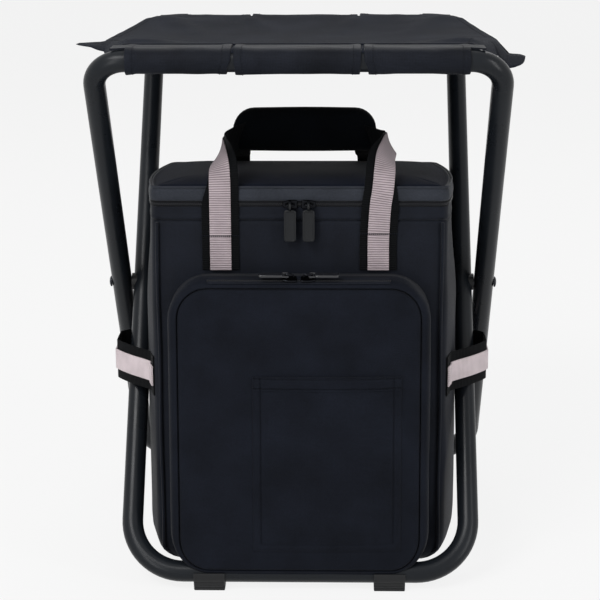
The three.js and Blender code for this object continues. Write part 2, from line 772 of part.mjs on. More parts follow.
// Slotted pull: a round bar under the slider's arch, and a flat plate outwards with a slot for the arch's leg.
function pocketPull() {
  const half = pocketPullThickness / 2;
  const outline = roundedOutline(
    0, pocketPullLength, -pocketPullWidth / 2, pocketPullWidth / 2, pocketPullCorner);
  const slot = new THREE.Path();
  const slotEnd = half + pocketPullSlot + archWire;
  slot.moveTo(half, -pocketPullSlotWidth / 2);
  slot.lineTo(slotEnd, -pocketPullSlotWidth / 2);
  slot.lineTo(slotEnd, pocketPullSlotWidth / 2);
  slot.lineTo(half, pocketPullSlotWidth / 2);
  outline.holes.push(slot);
  const plate = new THREE.ExtrudeGeometry(
    outline, { depth: pocketPullThickness, bevelEnabled: false, curveSegments: 4 });
  plate.translate(0, 0, -half);
  return plate;
}

// Side view of a strap that climbs the bag's wall at a distance, bends over and runs in to the grip.
function riserOutline(side, foot, lift, thickness, reach) {
  const wall = side < 0 ? bagFront - lift : bagRear + lift;
  const handleMiddle = (gripTop + gripBottom) / 2;
  const top = handleMiddle + lift;
  const outerBend = riserBend + lift + thickness / 2;
  const innerBend = outerBend - thickness;
  const bendY = wall - side * (riserBend + lift);
  const bendZ = top - riserBend - lift;
  const outline = new THREE.Shape();
  const flat = side < 0 ? Math.PI : 0;
  outline.moveTo(wall + side * thickness / 2, foot);
  outline.lineTo(wall + side * thickness / 2, bendZ);
  outline.absarc(bendY, bendZ, outerBend, flat, Math.PI / 2, side < 0);
  outline.lineTo(reach, top + thickness / 2);
  outline.lineTo(reach, top - thickness / 2);
  outline.absarc(bendY, bendZ, innerBend, Math.PI / 2, flat, side > 0);
  outline.lineTo(wall - side * thickness / 2, foot);
  return outline;
}

// Handle straps: grey webbing on wider black backing at the front, grey webbing alone at the rear.
function handleStraps(gripCutter) {
  const gripMiddle = (gripFront + gripRear) / 2;
  const backingLift = fit + backingThickness / 2;
  const webbingLift = 2 * fit + backingThickness + webbingThickness / 2;
  for (const [name, side] of [['left', -1], ['right', 1]]) {
    const low = side * webbingPlace - webbingWidth / 2;
    const backLow = side * webbingPlace - backingWidth / 2;
    const backing = riserOutline(-1, webbingFrontFoot, backingLift, backingThickness, gripFront - fit);
    piece(`strap_backing_${name}`, alongX(backing, backLow, backLow + backingWidth, 6), blackWebbing);
    const front = riserOutline(-1, webbingFrontFoot, webbingLift, webbingThickness, gripMiddle - fit);
    const frontBody = solid(alongX(front, low, low + webbingWidth, 6));
    piece(`strap_front_${name}`, surface(frontBody.subtract(gripCutter)), greyWebbing);
    const rear = riserOutline(1, webbingRearFoot, webbingLift, webbingThickness, gripMiddle + fit);
    const rearBody = solid(alongX(rear, low, low + webbingWidth, 6));
    piece(`strap_rear_${name}`, surface(rearBody.subtract(gripCutter)), greyWebbing);
  }
}

// Grip: a padded wrap that holds the front and rear straps together over the lid.
function handle() {
  const outline = (grow) => roundedOutline(
    -gripHalf - grow, gripHalf + grow, gripBottom - grow, gripTop + grow, gripCorner + grow);
  piece('handle_grip', alongY(outline(0), gripRear, gripFront, 6), gripFoam);
  handleStraps(solid(alongY(outline(fit), gripRear + fit, gripFront - fit)));
}

// Closed outline of a band of even thickness along an open row of points in (x, y).
function bandOutline(points, thickness) {
  const side = (sign) => points.map((point, at) => {
    const before = points[Math.max(at - 1, 0)];
    const after = points[Math.min(at + 1, points.length - 1)];
    const inward = at > 0 ? point.clone().sub(before).normalize() : after.clone().sub(point).normalize();
    const outward = at < points.length - 1 ? after.clone().sub(point).normalize() : inward;
    const mitre = inward.clone().add(outward).normalize();
    const stretch = thickness / 2 / mitre.dot(inward);
    return new THREE.Vector2(point.x - sign * mitre.y * stretch, point.y + sign * mitre.x * stretch);
  });
  return new THREE.Shape([...side(1), ...side(-1).reverse()]);
}

// Side strap: a stiff loop sewn to the bag's side that goes round the narrow loop's leg, grey webbing outside.
function sideStrap(name, side) {
  const route = (lift) => {
    const near = (y) => side * (bagHalfWidth * bagShare(y) + fit + lift);
    const far = side * (bagHalfWidth + sideStrapReach + lift);
    const tab = sideStrapTabShare * sideStrapHeight;
    return [
      new THREE.Vector2(near(-sideStrapFront - tab), -sideStrapFront - tab - lift),
      new THREE.Vector2(near(-sideStrapFront), -sideStrapFront - lift),
      new THREE.Vector2(far, -sideStrapFold - lift),
      new THREE.Vector2(far, -sideStrapFoldRear + lift),
      new THREE.Vector2(near(sideStrapRear), sideStrapRear + lift),
      new THREE.Vector2(near(sideStrapRear + tab), sideStrapRear + tab + lift),
    ];
  };
  const layers = [
    [`side_strap_${name}`, backingThickness / 2, backingThickness, sideStrapHeight, blackWebbing],
    [`side_webbing_${name}`, backingThickness + fit + webbingThickness / 2, webbingThickness,
      sideGreyHeight, greyWebbing],
  ];
  for (const [label, lift, thickness, height, material] of layers) {
    const outline = bandOutline(route(lift), thickness);
    const geometry = new THREE.ExtrudeGeometry(outline, { depth: height, bevelEnabled: false });
    geometry.translate(0, 0, sideStrapPlace - height / 2);
    piece(label, geometry, material);
  }
}

// Back panel: a padded plate between the rear handle straps.
function backPanel() {
  const top = bagRim - backPanelFall;
  const near = bagRear + fit;
  const outline = roundedOutline(-backPanelHalf, backPanelHalf, backPanelBottom, top, backPanelCorner);
  piece('back_panel', alongY(outline, near + backPanelThickness, near, 4), bagCloth);
}

// Shoulder strap: a padded band sewn on at the top that bows out from the back, down to its buckle.
function shoulderStrap(name, side) {
  const wall = bagRear + 2 * fit + backPanelThickness + shoulderThickness / 2;
  const top = bagRim - shoulderTopFall;
  const bowShares = [0, 0.14, 0.28, 0.44, 0.6, 0.76, 0.9, 1];
  const points = [new THREE.Vector2(wall, top)];
  for (const share of bowShares) {
    const bow = shoulderBow * Math.sin(Math.PI * share / 2) * (1 - share * share / 2);
    points.push(new THREE.Vector2(wall + bow, top - shoulderSewn - (shoulderHeight - shoulderSewn) * share));
  }
  const low = side * shoulderPlace - shoulderWidth / 2;
  const strap = alongX(bandOutline(points, shoulderThickness), low, low + shoulderWidth);
  piece(`shoulder_strap_${name}`, strap, blackWebbing);
  const end = points[points.length - 1];
  const along = end.clone().sub(points[points.length - 2]).normalize();
  shoulderBuckle(name, side, end, along);
}

// Buckle with two slots at the strap's lower end, and the webbing that runs from it down to the bag.
function shoulderBuckle(name, side, end, along) {
  const frame = roundedOutline(
    -buckleWidth / 2, buckleWidth / 2, -buckleLength - fit, -fit, buckleSlotLength / 2);
  const slotPitch = buckleLength / 3;
  for (const row of [1, 2]) {
    const middle = -fit - row * slotPitch;
    const slot = new THREE.Path();
    slot.moveTo(-buckleSlotWidth / 2, middle - buckleSlotLength / 2);
    slot.lineTo(buckleSlotWidth / 2, middle - buckleSlotLength / 2);
    slot.lineTo(buckleSlotWidth / 2, middle + buckleSlotLength / 2);
    slot.lineTo(-buckleSlotWidth / 2, middle + buckleSlotLength / 2);
    frame.holes.push(slot);
  }
  const buckle = piece(
    `strap_buckle_${name}`, alongY(frame, buckleThickness / 2, -buckleThickness / 2, 3), blackPlastic);
  buckle.position.set(side * shoulderPlace, end.x, end.y);
  buckle.rotation.x = Math.atan2(along.x, -along.y);
  const start = end.clone().addScaledVector(along, buckleLength + 2 * fit);
  const wall = bagRear + 2 * fit + backPanelThickness + webbingThickness / 2;
  const points = [
    start,
    new THREE.Vector2(wall, adjusterFoot + adjusterSewn),
    new THREE.Vector2(wall, adjusterFoot),
  ];
  const low = side * shoulderPlace - adjusterWidth / 2;
  const webbing = alongX(bandOutline(points, webbingThickness), low, low + adjusterWidth);
  piece(`strap_adjuster_${name}`, webbing, blackWebbing);
}

const outerTurn = legTurn;
const innerTurn = -legTurn;
frameLoop('frame_outer', outerHalfWidth, outerTopBend, outerTurn);
frameLoop('frame_inner', innerHalfWidth, innerTopBend, innerTurn);
for (const [name, side] of [['left', -1], ['right', 1]]) {
  rivet(`pivot_rivet_${name}`, side);
  spacer(`pivot_spacer_${name}`, side);
  foot(`foot_front_${name}`, side * footPlace, -barDepth / 2);
  foot(`foot_rear_${name}`, side * footPlace, barDepth / 2);
}
piece('seat_panel', seatPanel(), seatCloth);
const outerClear = clearLoop(outerHalfWidth, outerTopBend, outerTurn);
const innerClear = clearLoop(innerHalfWidth, innerTopBend, innerTurn);
sleeves('front', 1, sleeveFrontHalf, sleeveFrontHalf, outerClear);
sleeves('rear', -1, sleeveRearHalf, sleeveRearCorner, innerClear);
bagBody();
zipTapes();
lid();
frontPocket(innerClear);
pocketZip();
handle();
backPanel();
for (const [name, side] of [['left', -1], ['right', 1]]) {
  cornerPiping(`corner_piping_${name}`, side);
  lidZip(name, side);
  sideStrap(name, side);
  shoulderStrap(name, side);
}

export default stool;
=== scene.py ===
import math

import bpy
import numpy as np
from mathutils import Matrix, Vector


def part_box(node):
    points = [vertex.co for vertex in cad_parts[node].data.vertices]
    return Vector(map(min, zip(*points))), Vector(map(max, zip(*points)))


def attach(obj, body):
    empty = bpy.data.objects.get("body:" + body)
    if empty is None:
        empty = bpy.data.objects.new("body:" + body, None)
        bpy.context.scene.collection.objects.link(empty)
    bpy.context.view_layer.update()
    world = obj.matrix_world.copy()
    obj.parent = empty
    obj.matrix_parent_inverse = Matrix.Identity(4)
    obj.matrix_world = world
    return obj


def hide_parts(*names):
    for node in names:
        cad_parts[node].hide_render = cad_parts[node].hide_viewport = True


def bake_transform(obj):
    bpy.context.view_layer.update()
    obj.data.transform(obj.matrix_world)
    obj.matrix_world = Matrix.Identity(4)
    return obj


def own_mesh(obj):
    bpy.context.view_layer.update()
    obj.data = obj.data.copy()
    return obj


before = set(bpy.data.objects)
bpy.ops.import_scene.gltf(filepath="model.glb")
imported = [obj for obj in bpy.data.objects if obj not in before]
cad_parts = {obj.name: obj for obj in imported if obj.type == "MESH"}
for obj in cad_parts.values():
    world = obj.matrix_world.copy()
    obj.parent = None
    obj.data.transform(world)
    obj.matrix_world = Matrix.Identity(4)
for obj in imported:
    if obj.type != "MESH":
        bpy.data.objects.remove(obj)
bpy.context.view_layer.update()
print("folding cooler stool: frame loaded")

# Lengths are in millimetres, and become metres when they go into a mesh.
millimetre = 0.001


def linearColour(hexText):
    # sRGB to linear: c / 12.92 when dark, ((c + 0.055) / 1.055) to the power 2.4 otherwise
    channels = np.array([int(hexText[at:at + 2], 16) for at in (1, 3, 5)]) / 255
    linear = np.where(channels <= 0.04045, channels / 12.92, ((channels + 0.055) / 1.055) ** 2.4)
    return (*linear.tolist(), 1.0)


def addNode(tree, kind, inputs=None, **settings):
    node = tree.nodes.new("ShaderNode" + kind)
    for name, value in settings.items():
        setattr(node, name, value)
    for socket, value in (inputs or {}).items():
        if isinstance(value, bpy.types.NodeSocket):
            tree.links.new(value, node.inputs[socket])
        else:
            node.inputs[socket].default_value = value
    return node


def newMaterial(name, **surface):
    material = bpy.data.materials.new(name)
    material.use_nodes = True
    tree = material.node_tree
    tree.nodes.clear()
    sockets = {"specular": "Specular IOR Level", "sheen": "Sheen Weight", "sheenRoughness": "Sheen Roughness",
               "sheenTint": "Sheen Tint", "colour": "Base Color", "roughness": "Roughness",
               "metallic": "Metallic", "ior": "IOR", "coat": "Coat Weight", "coatRoughness": "Coat Roughness"}
    shader = addNode(tree, "BsdfPrincipled", {sockets[key]: value for key, value in surface.items()})
    addNode(tree, "OutputMaterial", {"Surface": shader.outputs[0]})
    return material, tree, shader


# Camera
cameraView = {"place": (35.544, -1630.203, 636.084), "turn": 0.0218, "tilt": 0.2395, "roll": -0.0032,
              "lens": 104.41, "sensor": 36, "shift": (-0.0043, -0.01838),
              "clip": (0.05, 60)}


def makeCamera(view):
    # back = (sin turn cos tilt, -cos turn cos tilt, sin tilt), right is level, up = back x right, then the roll
    turn, tilt, roll = view["turn"], view["tilt"], view["roll"]
    back = Vector((math.sin(turn) * math.cos(tilt), -math.cos(turn) * math.cos(tilt), math.sin(tilt)))
    level = Vector((math.cos(turn), math.sin(turn), 0))
    upright = back.cross(level)
    right = level * math.cos(roll) + upright * math.sin(roll)
    up = upright * math.cos(roll) - level * math.sin(roll)
    data = bpy.data.cameras.new("photoCamera")
    data.lens = view["lens"]
    data.sensor_width = view["sensor"]
    data.shift_x, data.shift_y = view["shift"]
    data.clip_start, data.clip_end = view["clip"]
    camera = bpy.data.objects.new("photoCamera", data)
    bpy.context.scene.collection.objects.link(camera)
    place = Vector(view["place"]) * millimetre
    camera.matrix_world = Matrix.Translation(place) @ Matrix((right, up, back)).transposed().to_4x4()
    bpy.context.scene.camera = camera


makeCamera(cameraView)


# Light and floor
studio = {
    "white": "#f5f5f5",
    "target": (0, 0, 240),
    "floorReach": 30,            # metres
    "worldStrength": 0.5,        # on the object, seen by diffuse rays
    "floorKeep": 0.9,            # share of the floor's colour that doesn't depend on the light on it
    "floorGlow": 1.03,
    "lamps": {
        "keyLamp": {"place": (-1100, -1700, 2300), "size": (1400, 800), "power": 40},
        "leftStrip": {"place": (-920, -1600, 640), "size": (150, 1500), "power": 9},
        "rightStrip": {"place": (1560, -1150, 640), "size": (190, 1500), "power": 11},
        "backLamp": {"place": (300, 1700, 2200), "size": (1600, 700), "power": 14},
    },
}


def makeStudio(values):
    scene = bpy.context.scene
    scene.view_settings.view_transform = "Standard"
    world = bpy.data.worlds.new("paleRoom")
    scene.world = world
    world.use_nodes = True
    tree = world.node_tree
    tree.nodes.clear()
    path = addNode(tree, "LightPath")
    seen = addNode(tree, "Math", {0: path.outputs["Is Camera Ray"], 1: path.outputs["Is Glossy Ray"]},
                   operation="MAXIMUM")
    seen = addNode(tree, "Math", {0: seen.outputs[0], 1: path.outputs["Is Transmission Ray"]},
                   operation="MAXIMUM")
    strength = addNode(tree, "MapRange", {"Value": seen.outputs[0], "To Min": values["worldStrength"], "To Max": 1.0})
    light = addNode(tree, "Background", {"Color": linearColour(values["white"]), "Strength": strength.outputs[0]})
    addNode(tree, "OutputWorld", {"Surface": light.outputs[0]})

    target = Vector(values["target"]) * millimetre
    for name, lamp in values["lamps"].items():
        data = bpy.data.lights.new(name, "AREA")
        data.shape = "RECTANGLE"
        data.size, data.size_y = (side * millimetre for side in lamp["size"])
        data.energy = lamp["power"]
        light = bpy.data.objects.new(name, data)
        scene.collection.objects.link(light)
        light.location = Vector(lamp["place"]) * millimetre
        light.rotation_euler = (target - light.location).to_track_quat("-Z", "Y").to_euler()
        light.visible_camera = False

    # matt painted floor: white paper that keeps a faint shadow
    material, tree, shader = newMaterial("floorPaper", colour=linearColour(values["white"]), roughness=0.9,
                                         specular=0.1)
    output = tree.nodes["Material Output"]
    path = addNode(tree, "LightPath")
    seen = addNode(tree, "Math", {0: path.outputs["Is Camera Ray"], 1: path.outputs["Is Glossy Ray"]},
                   operation="MAXIMUM")
    share = addNode(tree, "Math", {0: seen.outputs[0], 1: values["floorKeep"]}, operation="MULTIPLY")
    glow = addNode(tree, "Emission", {"Color": linearColour(values["white"]), "Strength": values["floorGlow"]})
    mixed = addNode(tree, "MixShader", {0: share.outputs[0], 1: shader.outputs[0], 2: glow.outputs[0]})
    tree.links.new(mixed.outputs[0], output.inputs["Surface"])
    reach = values["floorReach"]
    mesh = bpy.data.meshes.new("floor")
    mesh.from_pydata([(-reach, -reach, 0), (reach, -reach, 0), (reach, reach, 0), (-reach, reach, 0)], [],
                     [(0, 1, 2, 3)])
    mesh.materials.append(material)
    floor = bpy.data.objects.new("floor", mesh)
    scene.collection.objects.link(floor)


makeStudio(studio)
print("camera and light ready")


# Cloths, metals and plastics
waveRepeat = math.pi / 10        # a wave texture of scale 1 repeats once in this length
noiseRange = {"From Min": 0.3, "From Max": 0.7}        # where nearly all of a noise texture's values lie
fibreSize = 1.3
cloudSize = {"cloth": 40, "webbing": 14, "moulded": 35}
warpYarn = 0.9


def dress(tree, shader, colour, bright, height, relief, strength):
    # Colour times brightness is the base colour, and the height field is the bump
    shaded = addNode(tree, "VectorMath", {0: colour, "Scale": bright.outputs[0]}, operation="SCALE")
    tree.links.new(shaded.outputs[0], shader.inputs["Base Color"])
    bump = addNode(tree, "Bump", {"Height": height, "Distance": relief * millimetre, "Strength": strength})
    tree.links.new(bump.outputs[0], shader.inputs["Normal"])


def wovenCloth(name, thread, shadow, pitch, relief, roughness=0.85, specular=0.1, sheen=0.1, mottle=0.25):
    # Plain weave: warp and weft waves of one pitch, and a checker picks which of them lies on top.
    # Gives the eye a fine even grain, with slow cloudy changes of tone as in dyed cloth.
    material, tree, shader = newMaterial(name, roughness=roughness, specular=specular, sheen=sheen,
                                         sheenRoughness=0.4)
    uv = addNode(tree, "TexCoord").outputs["UV"]
    bandScale = waveRepeat / (pitch * millimetre)
    warp = addNode(tree, "TexWave", {"Vector": uv, "Scale": bandScale}, bands_direction="X")
    weft = addNode(tree, "TexWave", {"Vector": uv, "Scale": bandScale}, bands_direction="Y")
    over = addNode(tree, "TexChecker", {"Vector": uv, "Scale": 1 / (pitch * millimetre)})
    weave = addNode(tree, "Mix", {0: over.outputs["Fac"], 2: warp.outputs["Fac"], 3: weft.outputs["Fac"]})
    place = addNode(tree, "TexCoord").outputs["Object"]
    cloud = addNode(tree, "TexNoise", {"Vector": place, "Scale": 1 / (cloudSize["cloth"] * millimetre),
                                       "Detail": 3.0})
    fibre = addNode(tree, "TexNoise", {"Vector": place, "Scale": 1 / (fibreSize * millimetre),
                                       "Detail": 2.0})
    tone = addNode(tree, "MapRange", {"Value": cloud.outputs["Fac"], **noiseRange,
                                      "To Min": 1 - mottle, "To Max": 1 + mottle})
    grain = addNode(tree, "MapRange", {"Value": fibre.outputs["Fac"], **noiseRange,
                                       "To Min": 0.82, "To Max": 1.18})
    bright = addNode(tree, "Math", {0: tone.outputs[0], 1: grain.outputs[0]}, operation="MULTIPLY")
    # the thread colour, with the shadow colour as painted shade where the weave dips between the threads
    threadsWithPaintedShade = addNode(tree, "Mix", {0: weave.outputs[0], 6: linearColour(shadow), 7: linearColour(thread)},
                   data_type="RGBA")
    height = addNode(tree, "Math", {0: fibre.outputs["Fac"], 1: 0.35, 2: weave.outputs[0]}, operation="MULTIPLY_ADD")
    dress(tree, shader, threadsWithPaintedShade.outputs[2], bright, height.outputs[0], relief, 0.7)
    return material


def ribbedWebbing(name, thread, shadow, pitch, relief, specular=0.1, sheen=0.15):
    # Ribs run across the strap, one each pitch along it, and thin warp yarns run over them.
    # Gives the eye the ladder of fine lines that woven nylon strap has, with painted shade in the hollows between
    # them.
    material, tree, shader = newMaterial(name, roughness=0.75, specular=specular, sheen=sheen, sheenRoughness=0.35)
    uv = addNode(tree, "TexCoord").outputs["UV"]
    ribs = addNode(tree, "TexWave", {"Vector": uv, "Scale": waveRepeat / (pitch * millimetre)}, bands_direction="Y")
    yarns = addNode(tree, "TexWave", {"Vector": uv, "Scale": waveRepeat / (warpYarn * millimetre)},
                    bands_direction="X")
    rounded = addNode(tree, "Math", {0: ribs.outputs["Fac"], 1: 0.6}, operation="POWER")
    woven = addNode(tree, "Math", {0: yarns.outputs["Fac"], 1: 0.22, 2: rounded.outputs[0]},
                    operation="MULTIPLY_ADD")
    place = addNode(tree, "TexCoord").outputs["Object"]
    cloud = addNode(tree, "TexNoise", {"Vector": place, "Scale": 1 / (cloudSize["webbing"] * millimetre),
                                       "Detail": 4.0})
    tone = addNode(tree, "MapRange", {"Value": cloud.outputs["Fac"], **noiseRange, "To Min": 0.9, "To Max": 1.1})
    # the thread colour, with the shadow colour as painted shade in the hollows between the ribs
    threadsWithPaintedShade = addNode(tree, "Mix", {0: woven.outputs[0], 6: linearColour(shadow), 7: linearColour(thread)},
                   data_type="RGBA")
    dress(tree, shader, threadsWithPaintedShade.outputs[2], tone, woven.outputs[0], relief, 0.8)
    return material


def mouldedSurface(name, colour, roughness, specular, grainSize, relief, metallic=0.0, mottle=0.08):
    # Fine even grain from a noise, for powder coat, moulded plastic and rubber.
    material, tree, shader = newMaterial(name, specular=specular, metallic=metallic)
    place = addNode(tree, "TexCoord").outputs["Object"]
    grain = addNode(tree, "TexNoise", {"Vector": place, "Scale": 1 / (grainSize * millimetre), "Detail": 3.0})
    cloud = addNode(tree, "TexNoise", {"Vector": place, "Scale": 1 / (cloudSize["moulded"] * millimetre),
                                       "Detail": 4.0})
    tone = addNode(tree, "MapRange", {"Value": cloud.outputs["Fac"], **noiseRange,
                                      "To Min": 1 - mottle, "To Max": 1 + mottle})
    worn = addNode(tree, "MapRange", {"Value": cloud.outputs["Fac"], "From Min": 0.25, "From Max": 0.75,
                                      "To Min": roughness - 0.06, "To Max": roughness + 0.06})
    tree.links.new(worn.outputs[0], shader.inputs["Roughness"])
    dress(tree, shader, linearColour(colour)[:3], tone, grain.outputs["Fac"], relief, 0.5)
    return material


# satin powder coat on steel tube: soft long highlights and a slight orange peel, about 1.5 mm across
powderCoat = mouldedSurface("satinPowderCoat", "#15181c", 0.3, 0.17, 1.5, 0.04)
# zinc-plated steel, blackened: a small dull glint on each rivet head
rivetSteel = mouldedSurface("blackenedSteelRivet", "#3a3c40", 0.38, 0.5, 0.8, 0.02, metallic=1.0)
# painted zinc die casting: dark, smooth, with sharp small glints
zipMetal = mouldedSurface("blackZincSlider", "#1d1e21", 0.26, 0.5, 0.6, 0.01, metallic=1.0)
# injection-moulded acetal, lightly textured
blackAcetal = mouldedSurface("mouldedBlackAcetal", "#101113", 0.5, 0.3, 0.7, 0.03)
# moulded soft PVC, matt with a silky edge
pullRubber = mouldedSurface("mouldedRubberPull", "#0f1114", 0.42, 0.25, 0.5, 0.02)
# the same rubber with a glossy skin: its flat top mirrors the pale room as a light line
glossPull = mouldedSurface("glossyRubberPull", "#1b1c20", 0.22, 0.6, 0.5, 0.01)
# 600-denier polyester oxford: real threads are about 0.5 mm, drawn 1.3 mm so that they show in the render
seatOxford = wovenCloth("seatPolyesterOxford", "#1e2129", "#12151c", 1.3, 0.14, specular=0.05, sheen=0.03)
# the same cloth pulled tight and rubbed by the bar: a soft light band where it turns over
sleeveOxford = wovenCloth("sleevePolyesterOxford", "#191c23", "#0f1117", 1.3, 0.12, roughness=0.55, specular=0.07,
                          sheen=0.02, mottle=0.35)
bagOxford = wovenCloth("bagCoatedPolyester", "#14171f", "#0d1017", 1.1, 0.07, roughness=0.7, sheen=0.08)
lidOxford = wovenCloth("lidCoatedPolyester", "#161a26", "#0e121c", 1.1, 0.08, roughness=0.8, specular=0.05,
                       sheen=0.03)
# the pocket's cloth: the bag's cloth painted darker, as painted shade on the pocket's forward-facing front, and with
# less specular and sheen
pocketOxfordPaintedShade = wovenCloth("pocketPolyesterPaintedShade", "#12151d", "#0b0e15", 1.1, 0.07, roughness=0.75, specular=0.07,
                          sheen=0.04)
# the lid's side band: the lid's cloth painted lighter and greyer, as painted light where the band tilts up towards
# the lamps
bandClothPaintedLight = wovenCloth("lidBandPaintedLightPolyester", "#2d3037", "#22252b", 1.1, 0.08, roughness=0.7)
gripNeoprene = wovenCloth("gripKnitOverFoam", "#080b0e", "#05070a", 1.2, 0.1, roughness=0.95, specular=0.04,
                          sheen=0.03)
# heat-welded PEVA film: pale grey, slightly shiny, crinkled
linerFilm = mouldedSurface("weldedPevaFilm", "#b9bcbe", 0.34, 0.5, 9, 0.6)
# nylon strap, ribs 2.1 mm apart as in the photograph
greyWeb = ribbedWebbing("greyNylonWebbing", "#a69a9e", "#564d51", 2.1, 0.35)
# the side straps' webbing is finer and flatter, so it looks paler
paleWeb = ribbedWebbing("fineGreyNylonWebbing", "#c8bcbf", "#a2979a", 1.8, 0.2)
blackWeb = ribbedWebbing("blackNylonWebbing", "#090a0c", "#040506", 2.0, 0.3, specular=0.06, sheen=0.03)
zipTapeCloth = wovenCloth("zipNylonTape", "#121317", "#0a0b0d", 1.0, 0.08)
zipCoilNylon = mouldedSurface("zipNylonCoil", "#15161a", 0.4, 0.4, 0.6, 0.01)
# bonded polyester thread, darker than the cloth, so that seams read as dark lines
darkThread = mouldedSurface("sewingThread", "#0d0f15", 0.7, 0.1, 0.4, 0.02)
print("materials ready")


# Mesh helpers
sides = ((-1, "left"), (1, "right"))
cornerSigns = np.array([[1, 1], [-1, 1], [-1, -1], [1, -1]])


def quarterTurn(count):
    return np.linspace(0, np.pi / 2, count)


def fullTurn(count):
    return np.linspace(0, 2 * np.pi, count, endpoint=False)


def arcPoints(angles, radius):
    return radius * np.stack([np.cos(angles), np.sin(angles)], -1)


def pointGrid(x, y, z):
    # Points from numbers and arrays that broadcast to one shape
    return np.stack(np.broadcast_arrays(x, y, z), -1)


def ridge(distance, width):
    # Smooth ridge of height 1: exp(-(distance / width) squared)
    return np.exp(-(distance / width) ** 2)


def roundRing(halfAcross, halfUp, radius, arcSteps=6, runSteps=8):
    # Round-cornered rectangle: four quarter arcs, and evenly spaced points on the runs between them
    centres = cornerSigns * [halfAcross - radius, halfUp - radius]
    angles = quarterTurn(arcSteps + 1) + np.arange(4)[:, None] * np.pi / 2
    arcs = centres[:, None, :] + arcPoints(angles, radius)
    following = np.roll(arcs[:, 0], -1, axis=0)
    share = np.linspace(0, 1, runSteps + 1)[1:-1][None, :, None]
    runs = arcs[:, -1, None] + (following - arcs[:, -1])[:, None] * share
    return np.concatenate([arcs, runs], axis=1).reshape(-1, 2)


def evenPath(curve, count):
    # Points evenly spaced by length along a row of points
    curve = np.asarray(curve, float)
    length = np.concatenate([[0], np.cumsum(np.linalg.norm(np.diff(curve, axis=0), axis=1))])
    at = np.linspace(0, length[-1], count)
    return np.stack([np.interp(at, length, curve[:, axis]) for axis in range(curve.shape[1])], 1)


def smoothPath(points, count):
    # Catmull-Rom curve through the points, then evenly spaced
    points = np.asarray(points, float)
    padded = np.concatenate([2 * points[:1] - points[1:2], points, 2 * points[-1:] - points[-2:-1]])
    spans = len(points) - 1
    along = np.linspace(0, spans, 30 * spans + 1)
    span = np.minimum(along.astype(int), spans - 1)
    part = (along - span)[:, None]
    before, start, end, after = (padded[span + step] for step in range(4))
    curve = 0.5 * (2 * start + (end - before) * part + (2 * before - 5 * start + 4 * end - after) * part ** 2
                   + (3 * start - before - 3 * end + after) * part ** 3)
    return evenPath(curve, count)


def unit(vectors):
    return vectors / np.maximum(np.linalg.norm(vectors, axis=-1, keepdims=True), 1e-12)


def smoothStep(value):
    value = np.clip(value, 0, 1)
    return value * value * (3 - 2 * value)


def softNoise(points, size, seed):
    # Sum of sine waves in fixed random directions, in three sizes: slow dents of about 1 high, size apart
    generator = np.random.default_rng(seed)
    total = 0
    for octave in range(3):
        waves = unit(generator.normal(size=(6, 3))) * 2 * np.pi * 2 ** octave / size
        phases = generator.uniform(0, 2 * np.pi, 6)
        total = total + np.sin(points @ waves.T + phases).mean(-1) / 1.7 ** octave
    return total


def shell(points, wrapRows=False, wrapColumns=True, caps="fan"):
    # Grid of points (rows, columns, 3) to vertices, faces and UVs. The UVs are lengths along the surface.
    # fan closes an end row with a middle point, ladder joins its first half to its second half. An end's UVs
    # are its two widest directions.
    points = np.asarray(points, float)
    rows, columns = points.shape[:2]
    row, column = np.meshgrid(np.arange(rows if wrapRows else rows - 1),
                              np.arange(columns if wrapColumns else columns - 1), indexing="ij")
    steps = [(row, column), (row, column + 1), (row + 1, column + 1), (row + 1, column)]
    faces = np.stack([(down % rows) * columns + right % columns for down, right in steps], -1).reshape(-1, 4)
    wide = np.concatenate([points, points[:, :1]], 1) if wrapColumns else points
    wide = np.concatenate([wide, wide[:1]], 0) if wrapRows else wide
    across = np.zeros(wide.shape[:2])
    along = np.zeros(wide.shape[:2])
    across[:, 1:] = np.cumsum(np.linalg.norm(np.diff(wide, axis=1), axis=2), 1)
    along[1:] = np.cumsum(np.linalg.norm(np.diff(wide, axis=0), axis=2), 0)
    across -= across[:, -1:] / 2
    along[:] = along.mean(1, keepdims=True)
    lengths = np.stack([across, along], -1)
    uvs = np.stack([lengths[down, right] for down, right in steps], -2).reshape(-1, 2)
    vertices = points.reshape(-1, 3)
    faceList = faces.tolist()
    uvList = [uvs]
    if caps and not wrapRows:
        for start, turn in ((0, 1), ((rows - 1) * columns, -1)):
            ring = np.arange(columns) + start
            if caps == "fan":
                middle = len(vertices)
                vertices = np.concatenate([vertices, vertices[ring].mean(0, keepdims=True)])
                end = np.stack([np.full(columns, middle), np.roll(ring, -1), ring], -1)
            else:
                half = columns // 2
                first, second = ring[:half], ring[half:][::-1]
                end = np.stack([first[:-1], second[:-1], second[1:], first[1:]], -1)
            end = end if turn > 0 else end[:, ::-1]
            faceList += end.tolist()
            flat = vertices[end.ravel()]
            uvList.append(flat[:, np.sort(np.argsort(flat.std(0))[1:])])
    return vertices, faceList, np.concatenate(uvList)


def joinShells(shells):
    # Several shells as one list of vertices, faces and UVs
    vertices, faces, uvs, start = [], [], [], 0
    for part in shells:
        vertices.append(part[0])
        faces += [[index + start for index in face] for face in part[1]]
        uvs.append(part[2])
        start += len(part[0])
    return np.concatenate(vertices), faces, np.concatenate(uvs)


def outward(vertices, faces):
    # True when the faces' signed volume, the sum of a . (b x c) / 6 over fans of triangles, is positive
    corners = np.array([face[:3] + [face[2] if len(face) == 3 else face[3]] for face in faces])
    a, b, c, d = (vertices[corners[:, at]] for at in range(4))
    return (np.einsum("ij,ij->i", a, np.cross(b, c)) + np.einsum("ij,ij->i", a, np.cross(c, d))).sum() > 0


